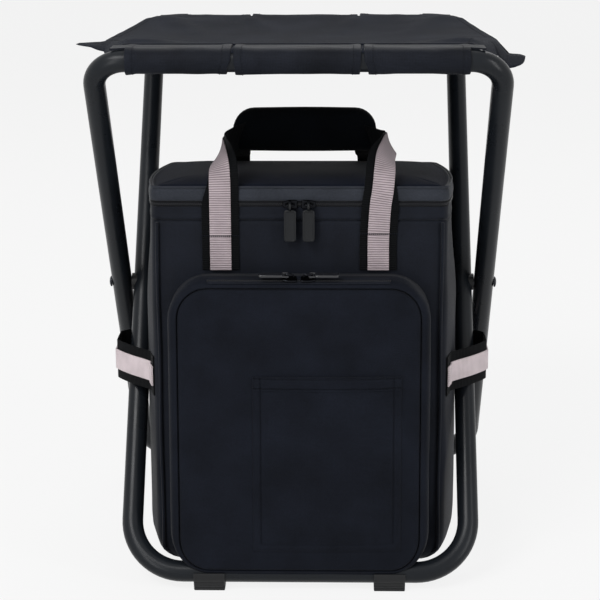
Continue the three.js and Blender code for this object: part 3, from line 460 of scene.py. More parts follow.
def makePiece(name, parts, material, body, replaces=(), sharp=38):
    # One object from one shell or a list of them, each turned to face out
    parts = [parts] if isinstance(parts, tuple) else parts
    turned = []
    for vertices, faces, uvs in parts:
        if not outward(vertices - vertices.mean(0), faces):
            counts = [len(face) for face in faces]
            ends = np.cumsum(counts)
            order = np.concatenate([np.arange(end - 1, end - count - 1, -1) for end, count in zip(ends, counts)])
            faces = [face[::-1] for face in faces]
            uvs = uvs[order]
        turned.append((vertices, faces, uvs))
    vertices, faces, uvs = joinShells(turned)
    mesh = bpy.data.meshes.new(name)
    mesh.from_pydata((vertices * millimetre).tolist(), [], faces)
    mesh.uv_layers.new(name="UVMap").data.foreach_set("uv", (uvs * millimetre).ravel())
    mesh.polygons.foreach_set("use_smooth", np.ones(len(faces), bool))
    mesh.set_sharp_from_angle(angle=math.radians(sharp))
    mesh.materials.append(material)
    mesh.update()
    piece = bpy.data.objects.new(name, mesh)
    bpy.context.scene.collection.objects.link(piece)
    if isinstance(body, str):
        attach(piece, body)
    if replaces:
        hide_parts(*([replaces] if isinstance(replaces, str) else replaces))
    return piece


def carry(path, across, normal, profile):
    # Profile carried along a path: point = path + across * u + normal * w
    across, normal = (np.broadcast_to(way, path.shape) for way in (across, normal))
    return path[:, None] + across[:, None] * profile[None, :, :1] + normal[:, None] * profile[None, :, 1:]


def pathFrame(path, across):
    # across is the strap's width direction, made square to the path; the normal is across x tangent
    tangent = unit(np.gradient(path, axis=0))
    across = np.broadcast_to(np.asarray(across, float), path.shape)
    across = unit(across - tangent * (across * tangent).sum(1, keepdims=True))
    return across, np.cross(across, tangent)


def ribbon(path, hint, profile):
    return shell(carry(path, *pathFrame(path, hint), profile))


def twoSided(front, back):
    # Closed cloth from the grids of its two sides
    return shell(np.concatenate([front, back[:, ::-1]], 1), caps="ladder")


def cordShell(path, radius, count=10, closed=False, hint=(0, 0, 1)):
    # Circle carried along a path
    path = np.asarray(path, float)
    tangent = unit(np.roll(path, -1, 0) - np.roll(path, 1, 0)) if closed else unit(np.gradient(path, axis=0))
    hint = np.broadcast_to(np.asarray(hint, float), path.shape)
    across = unit(hint - tangent * (hint * tangent).sum(1, keepdims=True))
    circle = arcPoints(fullTurn(count), radius)
    return shell(carry(path, across, np.cross(tangent, across), circle), wrapRows=closed)


def stitches(path, normal, pitch=3.2, length=2.3, thick=0.32, lift=0.1):
    # Short capsules laid end to end along a path, a few dozen faces each
    path = np.asarray(path, float)
    size = np.linalg.norm(np.diff(path, axis=0), axis=1).sum()
    count = max(int(size / pitch), 2)
    normal = np.broadcast_to(np.asarray(normal, float), path.shape)
    placed = evenPath(np.concatenate([path, normal], 1), count)
    places, normal = placed[:, :3], unit(placed[:, 3:])
    tangent = unit(np.gradient(places, axis=0))
    side = np.cross(normal, tangent)
    along = np.array([-0.5, -0.3, 0, 0.3, 0.5]) * length
    width = np.array([0.25, 0.9, 1, 0.9, 0.25]) * thick
    circle = arcPoints(fullTurn(6), width[:, None, None])
    template, faces, uvs = shell(pointGrid(along[:, None], circle[..., 0], circle[..., 1] + lift))
    points = places[:, None] + sum(way[:, None] * template[None, :, at:at + 1]
                                   for at, way in enumerate((tangent, side, normal)))
    allFaces = [[index + step * len(template) for index in face] for step in range(count) for face in faces]
    return points.reshape(-1, 3), allFaces, np.tile(uvs, (count, 1))


def finish(nodes, material):
    # Gives kept CAD nodes their material
    for name in nodes:
        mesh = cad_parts[name].data
        mesh.materials.clear()
        mesh.materials.append(material)


swellFrames = 20


def freeRows(piece, rings, loose):
    # 1 for the points of the loose rows and for the last end's middle point, 0 for all that stay pinned
    free = np.zeros(len(piece.data.vertices))
    free[:rings.shape[0] * rings.shape[1]] = np.repeat(loose.astype(float), rings.shape[1])
    free[-1] = 1
    return free


def swell(piece, free, pressure, cap, push):
    # Cloth with pressure and no gravity. Points with free = 0 are pinned, and none moves more than cap:
    # move = cap * tanh(size / cap) along its direction.
    mesh = piece.data
    start = np.zeros(len(mesh.vertices) * 3)
    mesh.vertices.foreach_get("co", start)
    start = start.reshape(-1, 3)
    pins = piece.vertex_groups.new(name="held")
    pins.add(np.nonzero(free < 1)[0].tolist(), 1.0, "REPLACE")
    cloth = piece.modifiers.new("swell", "CLOTH")
    cloth.settings.vertex_group_mass = "held"
    cloth.settings.use_pressure = True
    cloth.settings.uniform_pressure_force = pressure
    cloth.settings.effector_weights.gravity = 0
    cloth.settings.tension_stiffness = push
    cloth.settings.compression_stiffness = push
    cloth.settings.shear_stiffness = push / 3
    cloth.settings.bending_stiffness = 0.5
    scene = bpy.context.scene
    for step in range(1, swellFrames + 1):
        scene.frame_set(step)
    solved = piece.evaluated_get(bpy.context.evaluated_depsgraph_get()).to_mesh()
    end = np.zeros(len(solved.vertices) * 3)
    solved.vertices.foreach_get("co", end)
    move = end.reshape(-1, 3) - start
    size = np.linalg.norm(move, axis=1, keepdims=True)
    limit = cap * millimetre
    move *= np.where(size > 1e-9, limit * np.tanh(size / limit) / np.maximum(size, 1e-9), 0)
    piece.modifiers.remove(cloth)
    piece.vertex_groups.remove(pins)
    scene.frame_set(1)
    mesh.vertices.foreach_set("co", (start + move).ravel())
    mesh.update()
    print(f"  {piece.name} swelled by {size.max() / millimetre:.1f} mm at most")


def keepClear(points, path, radius):
    # Points nearer to the path than radius are pushed straight out to it
    flat = points.reshape(-1, 3)
    away = flat[:, None] - path[None]
    near = np.linalg.norm(away, axis=2)
    closest = near.argmin(1)
    distance = near[np.arange(len(flat)), closest]
    direction = away[np.arange(len(flat)), closest] / np.maximum(distance, 1e-6)[:, None]
    pushed = np.where((distance < radius)[:, None], path[closest] + direction * radius, flat)
    return pushed.reshape(points.shape)


# Frame: two bent tube loops
tubes = {"radius": 9.5, "pivotHeight": 245.5, "halfHeight": math.hypot(165, 230), "lean": math.atan2(330, 460),
         "wideHalf": 174, "narrowHalf": 153, "topBend": 28, "lowBend": 48,
         "barPlace": 165}


def loopPath(halfAcross, lean, steps=16):
    # Round-cornered rectangle in the XZ plane, leaned about the pivot line; also its outward directions
    angles = quarterTurn(steps + 1) + np.arange(4)[:, None] * np.pi / 2
    bends = np.array([tubes["topBend"], tubes["topBend"], tubes["lowBend"], tubes["lowBend"]])[:, None]
    out = pointGrid(np.cos(angles), 0.0, np.sin(angles))
    middle = pointGrid(cornerSigns[:, :1] * (halfAcross - bends), 0.0,
                       cornerSigns[:, 1:] * (tubes["halfHeight"] - bends))
    path = (middle + bends[..., None] * out).reshape(-1, 3)
    turn = np.array([[1, 0, 0], [0, math.cos(lean), -math.sin(lean)], [0, math.sin(lean), math.cos(lean)]])
    return path @ turn.T + [0, 0, tubes["pivotHeight"]], out.reshape(-1, 3) @ turn.T, turn[:, 1]


def tubeLoop(name, node, halfAcross, lean, body):
    path, out, sideways = loopPath(halfAcross, lean)
    circle = arcPoints(fullTurn(40), tubes["radius"])
    makePiece(name, shell(carry(path, out, sideways, circle), wrapRows=True), powderCoat, body, node)
    return evenPath(np.concatenate([path, path[:1]]), 700)


tubeLoop("wideTubeLoop", "frame_outer", tubes["wideHalf"], tubes["lean"], "outer_frame")
narrowBar = tubeLoop("narrowTubeLoop", "frame_inner", tubes["narrowHalf"], -tubes["lean"], "base")

rivet = {"shank": 3, "head": 5.2, "outerFace": 183.8, "dome": 2.4, "innerFace": 143.2, "innerHead": 1.2}


def rivetShell(side):
    # Lathe: radius and place along X, turned round the pivot line
    turn = quarterTurn(9)
    dome = np.stack([rivet["head"] * np.cos(turn),
                     rivet["outerFace"] + 0.5 + (rivet["dome"] - 0.5) * np.sin(turn)], 1)
    dome[-1, 0] = 0.4
    inner = rivet["innerFace"] - rivet["innerHead"]
    low = [[0.5, inner], [rivet["head"] - 0.3, inner], [rivet["head"], inner + 0.3],
           [rivet["head"], rivet["innerFace"]], [rivet["shank"], rivet["innerFace"]],
           [rivet["shank"], rivet["outerFace"]], [rivet["head"] - 0.2, rivet["outerFace"]]]
    profile = np.concatenate([low, dome])
    around = fullTurn(32)
    return shell(pointGrid(side * profile[:, 1:], profile[:, :1] * np.cos(around),
                           profile[:, :1] * np.sin(around) + tubes["pivotHeight"]))


foot = {"inner": 9.8, "outer": 12, "lip": 12, "padHalf": 7, "below": 15.5, "length": 28, "ribs": 7,
        "groove": 2.1, "depth": 1.5, "place": 81, "y": 165, "bands": (-6.5, -10.5, -13), "grooveTop": 11}


def footShell(x, y):
    # C-shaped clip round the bar, drawn in (y, z), carried along X; the pad's underside is grooved across
    lip = math.radians(foot["lip"])
    padTurn = math.asin((foot["padHalf"] + 2.2) / foot["outer"])
    arc = np.linspace(lip, padTurn - np.pi / 2, 30)
    right = arcPoints(arc, foot["outer"])
    pad = np.array([[foot["padHalf"], -foot["below"]], [-foot["padHalf"], -foot["below"]]])
    outer = evenPath(np.concatenate([right, pad, (right * [-1, 1])[::-1]]), 72)
    inner = arcPoints(np.linspace(lip, -np.pi - lip, 72), foot["inner"])
    pitch = (foot["length"] + foot["groove"]) / foot["ribs"]
    middles = np.arange(1, foot["ribs"]) * pitch - (foot["length"] + foot["groove"]) / 2
    half = foot["length"] / 2
    edge = np.array([-1.15, -0.9, 0.9, 1.15]) * foot["groove"] / 2
    places = np.sort(np.concatenate([[-half, -half + 0.5, half - 0.5, half], (middles[:, None] + edge).ravel()]))
    near = np.abs(places[:, None] - middles[None]).min(1)
    cut = foot["depth"] * (near < foot["groove"] / 2)
    end = np.where(np.abs(places) > half - 0.1, 0.7, 1)[:, None, None]
    ring = np.concatenate([outer, inner[::-1]])
    middle = np.concatenate([(outer + inner) / 2, ((outer + inner) / 2)[::-1]])
    rings = middle + (ring - middle) * end
    low = smoothStep((-foot["grooveTop"] - rings[..., 1]) / 3)
    low = low * smoothStep((foot["padHalf"] - 1.2 - np.abs(rings[..., 0])) / 0.8)
    up = rings[..., 1] + low * cut[:, None] + tubes["radius"] + 6
    bands = sum(0.7 * ridge(rings[..., 1] - place, 0.6) for place in foot["bands"])
    rings[..., 0] -= np.sign(rings[..., 0]) * bands * (np.hypot(rings[..., 0], rings[..., 1]) > foot["outer"] - 0.8)
    return shell(pointGrid(places[:, None] + x, rings[..., 0] + y, up), caps="ladder")


for side, where in sides:
    makePiece(f"{where}Rivet", rivetShell(side), rivetSteel, "base", f"pivot_rivet_{where}")
    for end, body, sign in (("front", "base", -1), ("rear", "outer_frame", 1)):
        makePiece(f"{where}{end.title()}Foot", footShell(side * foot["place"], sign * foot["y"]), blackAcetal, body,
                  f"foot_{end}_{where}", sharp=30)
finish(["pivot_spacer_left", "pivot_spacer_right"], blackAcetal)
print("frame, rivets and feet made")


# Seat
seat = {"half": 139.7, "under": 485.3, "thick": 2.2, "sag": 13, "barHalf": 148, "midHalf": 185, "power": 1.45,
        "flapOut": (26, 23), "flapDrop": (0, 10.5), "frontDrop": (2, 4),
        "sideLift": 5, "sideRoll": (5, 5.5), "hem": 7, "columns": 141, "seamColumns": (6, 134),
        "join": (0.139, 0.486),      # metres
        "leftFlap": (-48, -2, 8), "rightFlap": (-24, 29),
        # each soft fold: start, end, width, height
        "folds": [((-140, 128), (-60, -30), 11, 2.6), ((-150, -128), (-40, -60), 12, 3.2),
                  ((140, 128), (70, -10), 12, 2.4), ((150, -128), (60, -50), 13, 3.5),
                  ((-55, 136), (-30, 60), 7, 1.9), ((52, 136), (36, 50), 7, 1.9),
                  ((-56, -136), (-20, -90), 8, 1.6), ((58, -136), (30, -80), 8, 1.6)]}


tongue = {"place": 54.7, "arc": 40, "radius": 10.6, "half": 1.1, "height": 486.1, "thick": 0.9}


def seatHeight(y):
    # Shallow curve between the sleeves: under - sag * (1 - share squared)
    share = np.minimum(np.abs(y) / seat["half"], 1)
    return seat["under"] - seat["sag"] * (1 - share ** 2)


def seatWidth(y):
    # barHalf at the bars, midHalf in the middle: (1 - share to the power) between them
    share = np.minimum(np.abs(y) / tubes["barPlace"], 1)
    return seat["barHalf"] + (seat["midHalf"] - seat["barHalf"]) * (1 - share ** seat["power"])


def foldHeight(x, y, folds):
    # Each fold is a ridge along a line: height * exp(-(distance / width) squared), fading out at its far end
    total = np.zeros(np.broadcast(x, y).shape)
    for start, end, width, height in folds:
        run = np.subtract(end, start)
        size = np.hypot(*run)
        along = ((x - start[0]) * run[0] + (y - start[1]) * run[1]) / size
        aside = ((y - start[1]) * run[0] - (x - start[0]) * run[1]) / size
        fade = smoothStep(1 - along / size) * smoothStep((along + 30) / 30)
        spread = width * (1 + np.clip(along, 0, size) / size)
        total += height * fade * ridge(aside, spread)
    return total


def seatGrid():
    # The left flap grows from its front end to a point near its rear end. The right one is a round tab:
    # (1 - ((y - middle) / half) ** 4) ** 0.4.
    # The sides are stretched higher than the middle, and roll down over their last 11 mm, more so at the front.
    y = np.concatenate([np.linspace(-seat["half"], seat["half"], 84), np.linspace(-54, 10, 44)])
    y = np.unique(y)[:, None]
    share = np.linspace(-1, 1, seat["columns"])[None, :]
    width = seatWidth(y)
    start, crest, end = seat["leftFlap"]
    leftFlap = np.clip((y - start) / (crest - start), 0, 1) * smoothStep((end - y) / 9)
    tabMiddle, tabHalf = seat["rightFlap"]
    rightFlap = np.clip(1 - np.abs((y - tabMiddle) / tabHalf) ** 4, 0, 1) ** 0.4
    full = width + np.where(share < 0, seat["flapOut"][0] * leftFlap, seat["flapOut"][1] * rightFlap)
    x = full * np.sign(share) * np.abs(share) ** 0.9
    calm = smoothStep((seat["half"] - np.abs(y)) / 30)
    past = smoothStep((np.abs(x) - width + 4) / 13)
    drop = np.where(share < 0, *seat["frontDrop"]) * np.clip((tabMiddle - y) / tabHalf, 0, 1)
    drop = (drop + np.where(share < 0, *seat["flapDrop"])) * past * calm
    lift = seat["sideLift"] * smoothStep((np.abs(x) - 70) / 90) * calm
    roll = seat["sideRoll"][0] + seat["sideRoll"][1] * smoothStep((-20 - y) / 50)
    roll = roll * np.clip((np.abs(x) - width + 11) / 11, 0, 1) ** 2 * (0.35 + 0.65 * calm)
    edge = np.clip((full - np.abs(x)) / seat["hem"], 0, 1)
    inward = seat["half"] - np.abs(y)
    folds = foldHeight(x, y, seat["folds"]) * smoothStep(inward / 18)
    top = seatHeight(y) + seat["thick"] + lift - roll - drop + folds * smoothStep((width - np.abs(x)) / 20)
    top += 0.5 * ridge(full - np.abs(x) - seat["hem"], 1.2)
    top += 0.7 * softNoise(pointGrid(x, y, 0.0), size=130, seed=3) * smoothStep(inward / 20)
    thick = seat["thick"] * np.sqrt(np.clip(1 - (1 - np.clip(edge * 5, 0, 1)) ** 2, 0.02, 1))
    middle = top - seat["thick"] / 2
    return pointGrid(x, y, middle + thick / 2), pointGrid(x, y, middle - thick / 2)


def seatTongue(place):
    # Between two sleeves the panel's edge runs on over the bar's top: flat, then an arc of 40 degrees round it
    arc = np.radians(np.linspace(0, tongue["arc"], 9))
    line = np.concatenate([[[24, 0], [12, 0]], np.stack([-np.sin(arc), np.cos(arc) - 1], 1) * tongue["radius"]])
    x = place + np.linspace(-tongue["half"], tongue["half"], 5)
    grids = [pointGrid(x, line[:, :1] - tubes["barPlace"], line[:, 1:] + tongue["height"] - deep)
             for deep in (0, tongue["thick"])]
    return twoSided(*grids)


def joinBars(piece):
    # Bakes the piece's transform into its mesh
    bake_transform(piece)


above, below = seatGrid()
slingParts = [twoSided(above, below)] + [seatTongue(side * tongue["place"]) for side, where in sides]
seatPanel = makePiece("seatSling", slingParts, seatOxford, None, "seat_panel", sharp=60)
joinBars(seatPanel)
seam = [stitches(above[::-1, at], (0, 0, 1)) for at in seat["seamColumns"]]
seatSeams = makePiece("seatHemStitches", seam, darkThread, None)
joinBars(seatSeams)

sleeve = {"inner": 9.8, "cloth": 1.3, "mouth": math.radians(43), "tail": 25, "centre": 52.5, "slot": 7,
          "frontEnd": 145, "rearEnd": 124, "rearCorner": 148, "frontCorner": 158,
          "slotMove": (1.0, 3.6), "slotReach": 20, "cornerThick": 1.6, "barHeight": 475.5, "hem": 7,
          "flatLength": 0.083,         # metres
          "linePoints": 64}


slotOuter = sleeve["centre"] + sleeve["slot"]


def sleeveShell(into, low, high, seed, cornerSide=0, corner=148):
    # Cloth's middle line in (y, z): the tail on the seat, over the bar, round it, and back up behind it.
    # It is carried along X, with soft pulls, and a thicker turned hem at both ends.
    middle = sleeve["inner"] + sleeve["cloth"] / 2
    tail = np.stack([np.linspace(sleeve["tail"], 1, 9), np.full(9, sleeve["inner"] + sleeve["cloth"] * 0.6)], 1)
    sweep = np.linspace(np.pi / 2, np.pi / 2 + 2 * np.pi - sleeve["mouth"] - 0.2, 44)
    line = evenPath(np.concatenate([tail, arcPoints(sweep, middle)]), sleeve["linePoints"])
    tangent = unit(np.gradient(line, axis=0))
    normal = np.stack([tangent[:, 1], -tangent[:, 0]], 1)
    span = high - low
    places = np.concatenate([[low, low + 0.4], np.linspace(low + 1.2, high - 1.2, max(int(span / 2.5), 8)),
                             [high - 0.4, high]])
    inside = np.minimum(places - low, high - places)
    hem = 0.45 * smoothStep((sleeve["hem"] - inside) / 1.2) * np.minimum(inside / 0.4, 1)
    thick = sleeve["cloth"] / 2 * (0.55 + 0.45 * np.minimum(inside / 0.5, 1))
    wave = softNoise(pointGrid(places[:, None], line[:, 0], line[:, 1]) * [1, 1.6, 1.6], size=60, seed=seed)
    pull = 0.5 * np.sin(places[:, None] / 9 + line[:, 0] / 5) * np.exp(-inside[:, None] / 16)
    lift = np.clip(0.55 * wave + pull, -0.25, 1.3) * smoothStep((np.arange(len(line)) - 2) / 10)[None]
    outside = lift + thick[:, None] + hem[:, None]
    # each slot is narrow over the bar and opens towards the underside: its edges move together by
    # slotMove * step((z + 9) / 12), fading out over slotReach
    upper = smoothStep((line[None, :, 1] + 9) / 12)
    near, far = sleeve["slotMove"]
    across = places[:, None]
    for slot, move in ((-slotOuter, far), (-sleeve["centre"], -near),
                       (sleeve["centre"], near), (slotOuter, -far)):
        if min(abs(slot - low), abs(slot - high)) < 0.1:
            reach = np.clip(1 - np.abs(places[:, None] - slot) / sleeve["slotReach"], 0, 1)
            across = across + move * reach * upper
    across = np.broadcast_to(across, outside.shape)
    rings = []
    for offset in (outside, lift - thick[:, None]):
        y = line[None, :, 0] + normal[None, :, 0] * offset
        z = line[None, :, 1] + normal[None, :, 1] * offset
        rings.append(np.stack([across, -into * tubes["barPlace"] + into * y, sleeve["barHeight"] + z], -1))
    parts = [twoSided(*rings)]
    if cornerSide:
        edges = sorted([cornerSide * (max(abs(low), abs(high)) - 4), cornerSide * corner])
        x = np.linspace(*edges, 14)[:, None]
        y = np.linspace(sleeve["tail"], -2, 16)[None, :]
        outer = np.abs(x) / corner
        top = sleeve["barHeight"] + sleeve["inner"] + 2.1 - 1.2 * smoothStep((outer - 0.85) / 0.15)
        grid = pointGrid(x, into * (y - tubes["barPlace"]), top)
        parts.append(twoSided(grid, grid - [0, 0, sleeve["cornerThick"]]))
    return parts, rings[0]


for place, into, end, body in (("front", 1, sleeve["frontEnd"], "outer_frame"),
                               ("rear", -1, sleeve["rearEnd"], "base")):
    for number, (label, low, high) in enumerate((
            ("left", -end, -slotOuter), ("centre", -sleeve["centre"], sleeve["centre"]),
            ("right", slotOuter, end))):
        corner = {"left": -1, "centre": 0, "right": 1}[label]
        parts, surface = sleeveShell(into, low, high, 11 + number + 5 * (place == "rear"), corner,
                                     sleeve[place + "Corner"])
        piece = makePiece(f"{place}{label.title()}Sleeve", parts, sleeveOxford if into > 0 else seatOxford, body,
                          f"seat_sleeve_{place}_{label}", sharp=55)
        threads = []
        for row in (4, len(surface) - 5):
            around = surface[row, 6:60]
            centre = [around[0, 0], -into * tubes["barPlace"], sleeve["barHeight"]]
            threads.append(stitches(around, unit(around - centre)))
        makePiece(f"{place}{label.title()}SleeveStitches", threads, darkThread, body)
print("seat made")


# Cooler bag
bag = {"halfWidth": 139.5, "front": -120, "rear": 80, "base": 10, "rim": 342, "corner": 8, "bulge": 0.065,
       "tilt": 0.06, "baseEdge": 12, "wall": 8, "seamHeight": 329.4, "seamDepth": 1.5, "out": 6.4, "lowCorner": 22,
       "sag": 4, "besideX": 124.4, "besideDepth": 1.6, "rearSeam": 10, "stitchUp": 2.6,
       "pillow": (-20, 102), "pillowTop": 330,
       "rows": ((22, 320, 46), (323, 327, 4), (327.8, 331, 9), (333, 342, 6))}
bagMiddle = (bag["front"] + bag["rear"]) / 2
bagDepth = (bag["rear"] - bag["front"]) / 2


def bagShare(y):
    # Share of the widest width: 1 - bulge * away squared
    return 1 - bag["bulge"] * ((y - bagMiddle) / bagDepth) ** 2


def sideBulge(y, z):
    # The full bag's sides push out: out * (1 - ((y - middle) / half) squared), fading towards the rim
    middle, half = bag["pillow"]
    return bag["out"] * np.clip(1 - ((y - middle) / half) ** 2, 0, 1) * smoothStep((bag["pillowTop"] - z) / 90)


def bagRing(inset, height, tilt=0.0):
    # Round-cornered ring drawn in by inset, its sides bulged, falling to the rear by its tilt
    corner = max(bag["corner"] - inset, bag["corner"] * 0.4)
    flat = roundRing(bag["halfWidth"] - inset, bagDepth - inset, corner, 6, 24)
    y = flat[:, 1] + bagMiddle
    return pointGrid(flat[:, 0] * bagShare(y), y, height - tilt * (y - bag["front"]))


def wallRings(inset, base, rim, edge, heights):
    # Rolled bottom edge, then rings up to the tilted rim
    low = [bagRing(inset + edge * (1 - math.sin(a)), base + edge * (1 - math.cos(a)))
           for a in quarterTurn(7)[:-1]]
    bottom = bagRing(inset, base + edge)
    top = bagRing(inset, rim, bag["tilt"])
    share = (np.asarray(heights) - base - edge) / (rim - base - edge)
    return np.concatenate([low, bottom + (top - bottom) * share[:, None, None]])


def outwardOf(rings):
    # Level direction square to each ring, pointing away from the bag
    tangent = unit(np.roll(rings, -1, 1) - np.roll(rings, 1, 1))
    return unit(np.stack([tangent[..., 1], -tangent[..., 0], 0 * tangent[..., 0]], -1))


liner = {"edge": 8, "gap": 0.3, "thick": 1.2, "crinkle": 0.5}


def bagBody():
    # Outside wall with the seam under the zip band, a groove beside each corner piping, a seam near each rear
    # corner, dents, and the lower corners drawn in, then the plain inside. The rows are closest at the seam.
    levels = np.concatenate([np.linspace(*rows) for rows in bag["rows"]])
    outer = wallRings(0, bag["base"], bag["rim"], bag["baseEdge"], levels)
    fromSeam = outer[..., 2] - (bag["seamHeight"] - bag["tilt"] * (outer[..., 1] - bag["front"]))
    away = outwardOf(outer)
    groove = -bag["seamDepth"] * ridge(fromSeam, 0.9) + 0.8 * ridge(fromSeam - 2.8, 1.4)
    dents = 0.8 * softNoise(outer * [1, 1, 0.7], size=150, seed=21)
    dents += 0.3 * softNoise(outer * [1.6, 1, 0.5], size=45, seed=22)
    beside = -bag["besideDepth"] * ridge(np.abs(outer[..., 0]) - bag["besideX"], 1.1)
    beside = beside * (outer[..., 1] < bag["front"] + 4)
    rearSeam = -0.8 * ridge(outer[..., 1] - bag["rear"] + bag["rearSeam"], 1.2) * (np.abs(outer[..., 0]) > 60)
    calm = smoothStep((bag["rim"] - outer[..., 2] - 4) / 20) * smoothStep((outer[..., 2] - 16) / 30)
    calm = calm * np.where(outer[..., 1] < bag["front"] + 2, 0.35, 1)
    outer = outer + away * (groove + np.clip(dents, -1.4, 1.4) * calm + beside + rearSeam)[..., None]
    # in the front view the lower corners are round: x is drawn in by r - sqrt(r squared - (r - height) squared)
    up = np.clip(bag["lowCorner"] - (outer[..., 2] - bag["base"]), 0, bag["lowCorner"])
    drawn = bag["lowCorner"] - np.sqrt(bag["lowCorner"] ** 2 - up ** 2)
    outer[..., 0] += np.sign(outer[..., 0]) * sideBulge(outer[..., 1], outer[..., 2]) * (np.abs(outer[..., 0]) > 100)
    outer[..., 0] *= 1 - drawn * np.clip((np.abs(outer[..., 0]) - 60) / 60, 0, 1) / bag["halfWidth"]
    outer[..., 2] -= bag["sag"] * smoothStep((36 - outer[..., 2]) / 26)
    outer = keepClear(outer, narrowBar, tubes["radius"] + 1.0)
    inner = wallRings(bag["wall"], bag["base"] + bag["wall"], bag["rim"], liner["edge"],
                      np.linspace(26, bag["rim"], 12))
    return np.concatenate([outer, inner[::-1]])


body = makePiece("coolerShell", shell(bagBody()), bagOxford, "base", "cooler_body", sharp=60)


def linerRings():
    # A smooth outside against the wall, and an inside drawn in by crinkle * (1 + noise), calm at the rim
    inset = bag["wall"] + liner["gap"]
    outside = wallRings(inset, bag["base"] + inset, bag["rim"], liner["edge"], np.linspace(27, bag["rim"], 30))
    inset += liner["thick"]
    inside = wallRings(inset, bag["base"] + inset, bag["rim"], liner["edge"], np.linspace(28, bag["rim"], 60))[::-1]
    crinkle = softNoise(inside, size=38, seed=31) * smoothStep((340 - inside[..., 2]) / 20)
    return np.concatenate([outside, inside - outwardOf(inside) * (liner["crinkle"] * (1 + crinkle))[..., None]])


makePiece("coolerLiner", shell(linerRings()), linerFilm, "base", "cooler_liner", sharp=60)

lidShape = {"base": 346.9, "thick": 13, "edge": 4, "crown": 5.2, "lean": 1.4}


def lidRings():
    # Level band up the side, a rolled edge, then rings drawn in to the middle of a crowned top
    base, thick, edge = lidShape["base"], lidShape["thick"], lidShape["edge"]
    rings = [bagRing(6, base, bag["tilt"]), bagRing(0.6, base, bag["tilt"]), bagRing(0, base + 0.6, bag["tilt"])]
    rings += [bagRing(0, height, bag["tilt"]) for height in np.linspace(base + 1.6, base + thick - edge, 5)]
    rings += [bagRing(edge * (1 - math.cos(a)) * 0.8, base + thick - edge * (1 - math.sin(a)), bag["tilt"])
              for a in quarterTurn(8)[1:]]
    insets = np.concatenate([[5, 6, 7.5], np.linspace(10, 97, 26)])
    rings += [bagRing(inset, base + thick + lidShape["crown"] * (1 - math.exp(-(inset - 5) / 15)), bag["tilt"])
              for inset in insets]
    rings = np.array(rings)
    inset = np.concatenate([np.zeros(len(rings) - len(insets)), insets])[:, None]
    rings[..., 2] -= 0.9 * ridge(inset - 6, 1.2)
    # the band bulges most near its foot, so that it looks a little upwards
    up = np.clip((rings[..., 2] + bag["tilt"] * (rings[..., 1] - bag["front"]) - base) / thick, 0, 1)
    bulge = lidShape["lean"] * np.sin(np.pi * np.clip(up, 0, 1) ** 0.6) * (inset < 1)
    return rings + outwardOf(rings) * bulge[..., None], inset


rings, inset = lidRings()
lid = makePiece("coolerLid", shell(rings), lidOxford, "lid", "cooler_lid", sharp=60)
# the band's faces take the lighter cloth: painted light on the lid's side band
lid.data.materials.append(bandClothPaintedLight)
bandFacesPaintedLight = np.zeros(len(lid.data.polygons), int)
bandFacesPaintedLight[:int((inset[:, 0] < 1).sum() - 1) * rings.shape[1]] = 1
lid.data.polygons.foreach_set("material_index", bandFacesPaintedLight)
swell(lid, freeRows(lid, rings, inset[:, 0] > 8), pressure=4, cap=2.5, push=12)

# the piping takes the band's lighter cloth: a painted highlight along the lid's front edge
edgeRing = bagRing(0.4, lidShape["base"] + lidShape["thick"] - 0.5, bag["tilt"])
makePiece("lidEdgePiping", cordShell(edgeRing, radius=1.1, count=8, closed=True), bandClothPaintedLight, "lid")
for name, inset, height, bodyName, slotName in (
        ("lidBandStitches", -0.05, lidShape["base"], "lid", "lid_cloth"),
        ("bodyBandStitches", 0.15, bag["seamHeight"], "base", "bag_cloth")):
    line = bagRing(inset, height + bag["stitchUp"], bag["tilt"])
    makePiece(name, stitches(line, outwardOf(line[None])[0]), darkThread, bodyName)

piping = {"radius": 1.5, "x": 126.6, "top": 328, "proud": 0.9, "inward": 9, "wave": 0.35}
for side, where in sides:
    turn = quarterTurn(10)
    reach = bag["baseEdge"] + piping["proud"]
    low = bag["base"] + bag["baseEdge"]
    bend = pointGrid(side * (piping["x"] - piping["inward"] * np.sin(turn) ** 2),
                     bag["front"] + bag["baseEdge"] - reach * np.cos(turn), low - reach * np.sin(turn) * 0.7)
    straight = pointGrid(side * piping["x"], bag["front"] - piping["proud"], np.linspace(piping["top"], low, 60))
    straight[:, 0] += piping["wave"] * np.sin(straight[:, 2] / 23 + side)
    cord = cordShell(np.concatenate([straight[:-1], bend]), piping["radius"], hint=(1, 0, 0))
    makePiece(f"{where}FrontPiping", cord, bagOxford, "base", f"corner_piping_{where}")
print("bag body and lid made")

# Lid zip: two woven tapes, a coil half on each, and the sliders
zipBand = {"depth": 4, "thick": 2, "lower": 342.3, "upper": 344.6, "toothPitch": 1.7}


def openRing(inset, height):
    # The bag's ring from its rear left corner round the front to its rear right corner
    ring = bagRing(inset, height, bag["tilt"])
    ring = np.roll(ring, -int(np.argmax(ring[:, 1] - 0.001 * ring[:, 0])), 0)
    return ring[ring[:, 1] < bag["rear"] - bag["corner"]]


def tapeShell(height):
    # Flat tape with a bevelled outer edge
    line = openRing(0.1, height + zipBand["thick"] / 2)
    profile = np.array([[0.36, -0.95], [0.66, -0.6], [0.66, 0.6], [0.36, 0.95],
                        [-zipBand["depth"], 0.95], [-zipBand["depth"], -0.95]])
    return shell(carry(line, outwardOf(line[None])[0], (0, 0, 1), profile))


def coilShell(height, phase):
    # Half of a zip coil: small bent rods across the zip line, one each pitch
    line = openRing(-0.25, height)
    size = np.linalg.norm(np.diff(line, axis=0), axis=1).sum()
    places = evenPath(line, int(size / zipBand["toothPitch"]))
    places[:-1] += (places[1:] - places[:-1]) * phase
    away = outwardOf(places[None])[0]
    return stitches(places[:-1], away[:-1], zipBand["toothPitch"], length=1.15, thick=0.75)


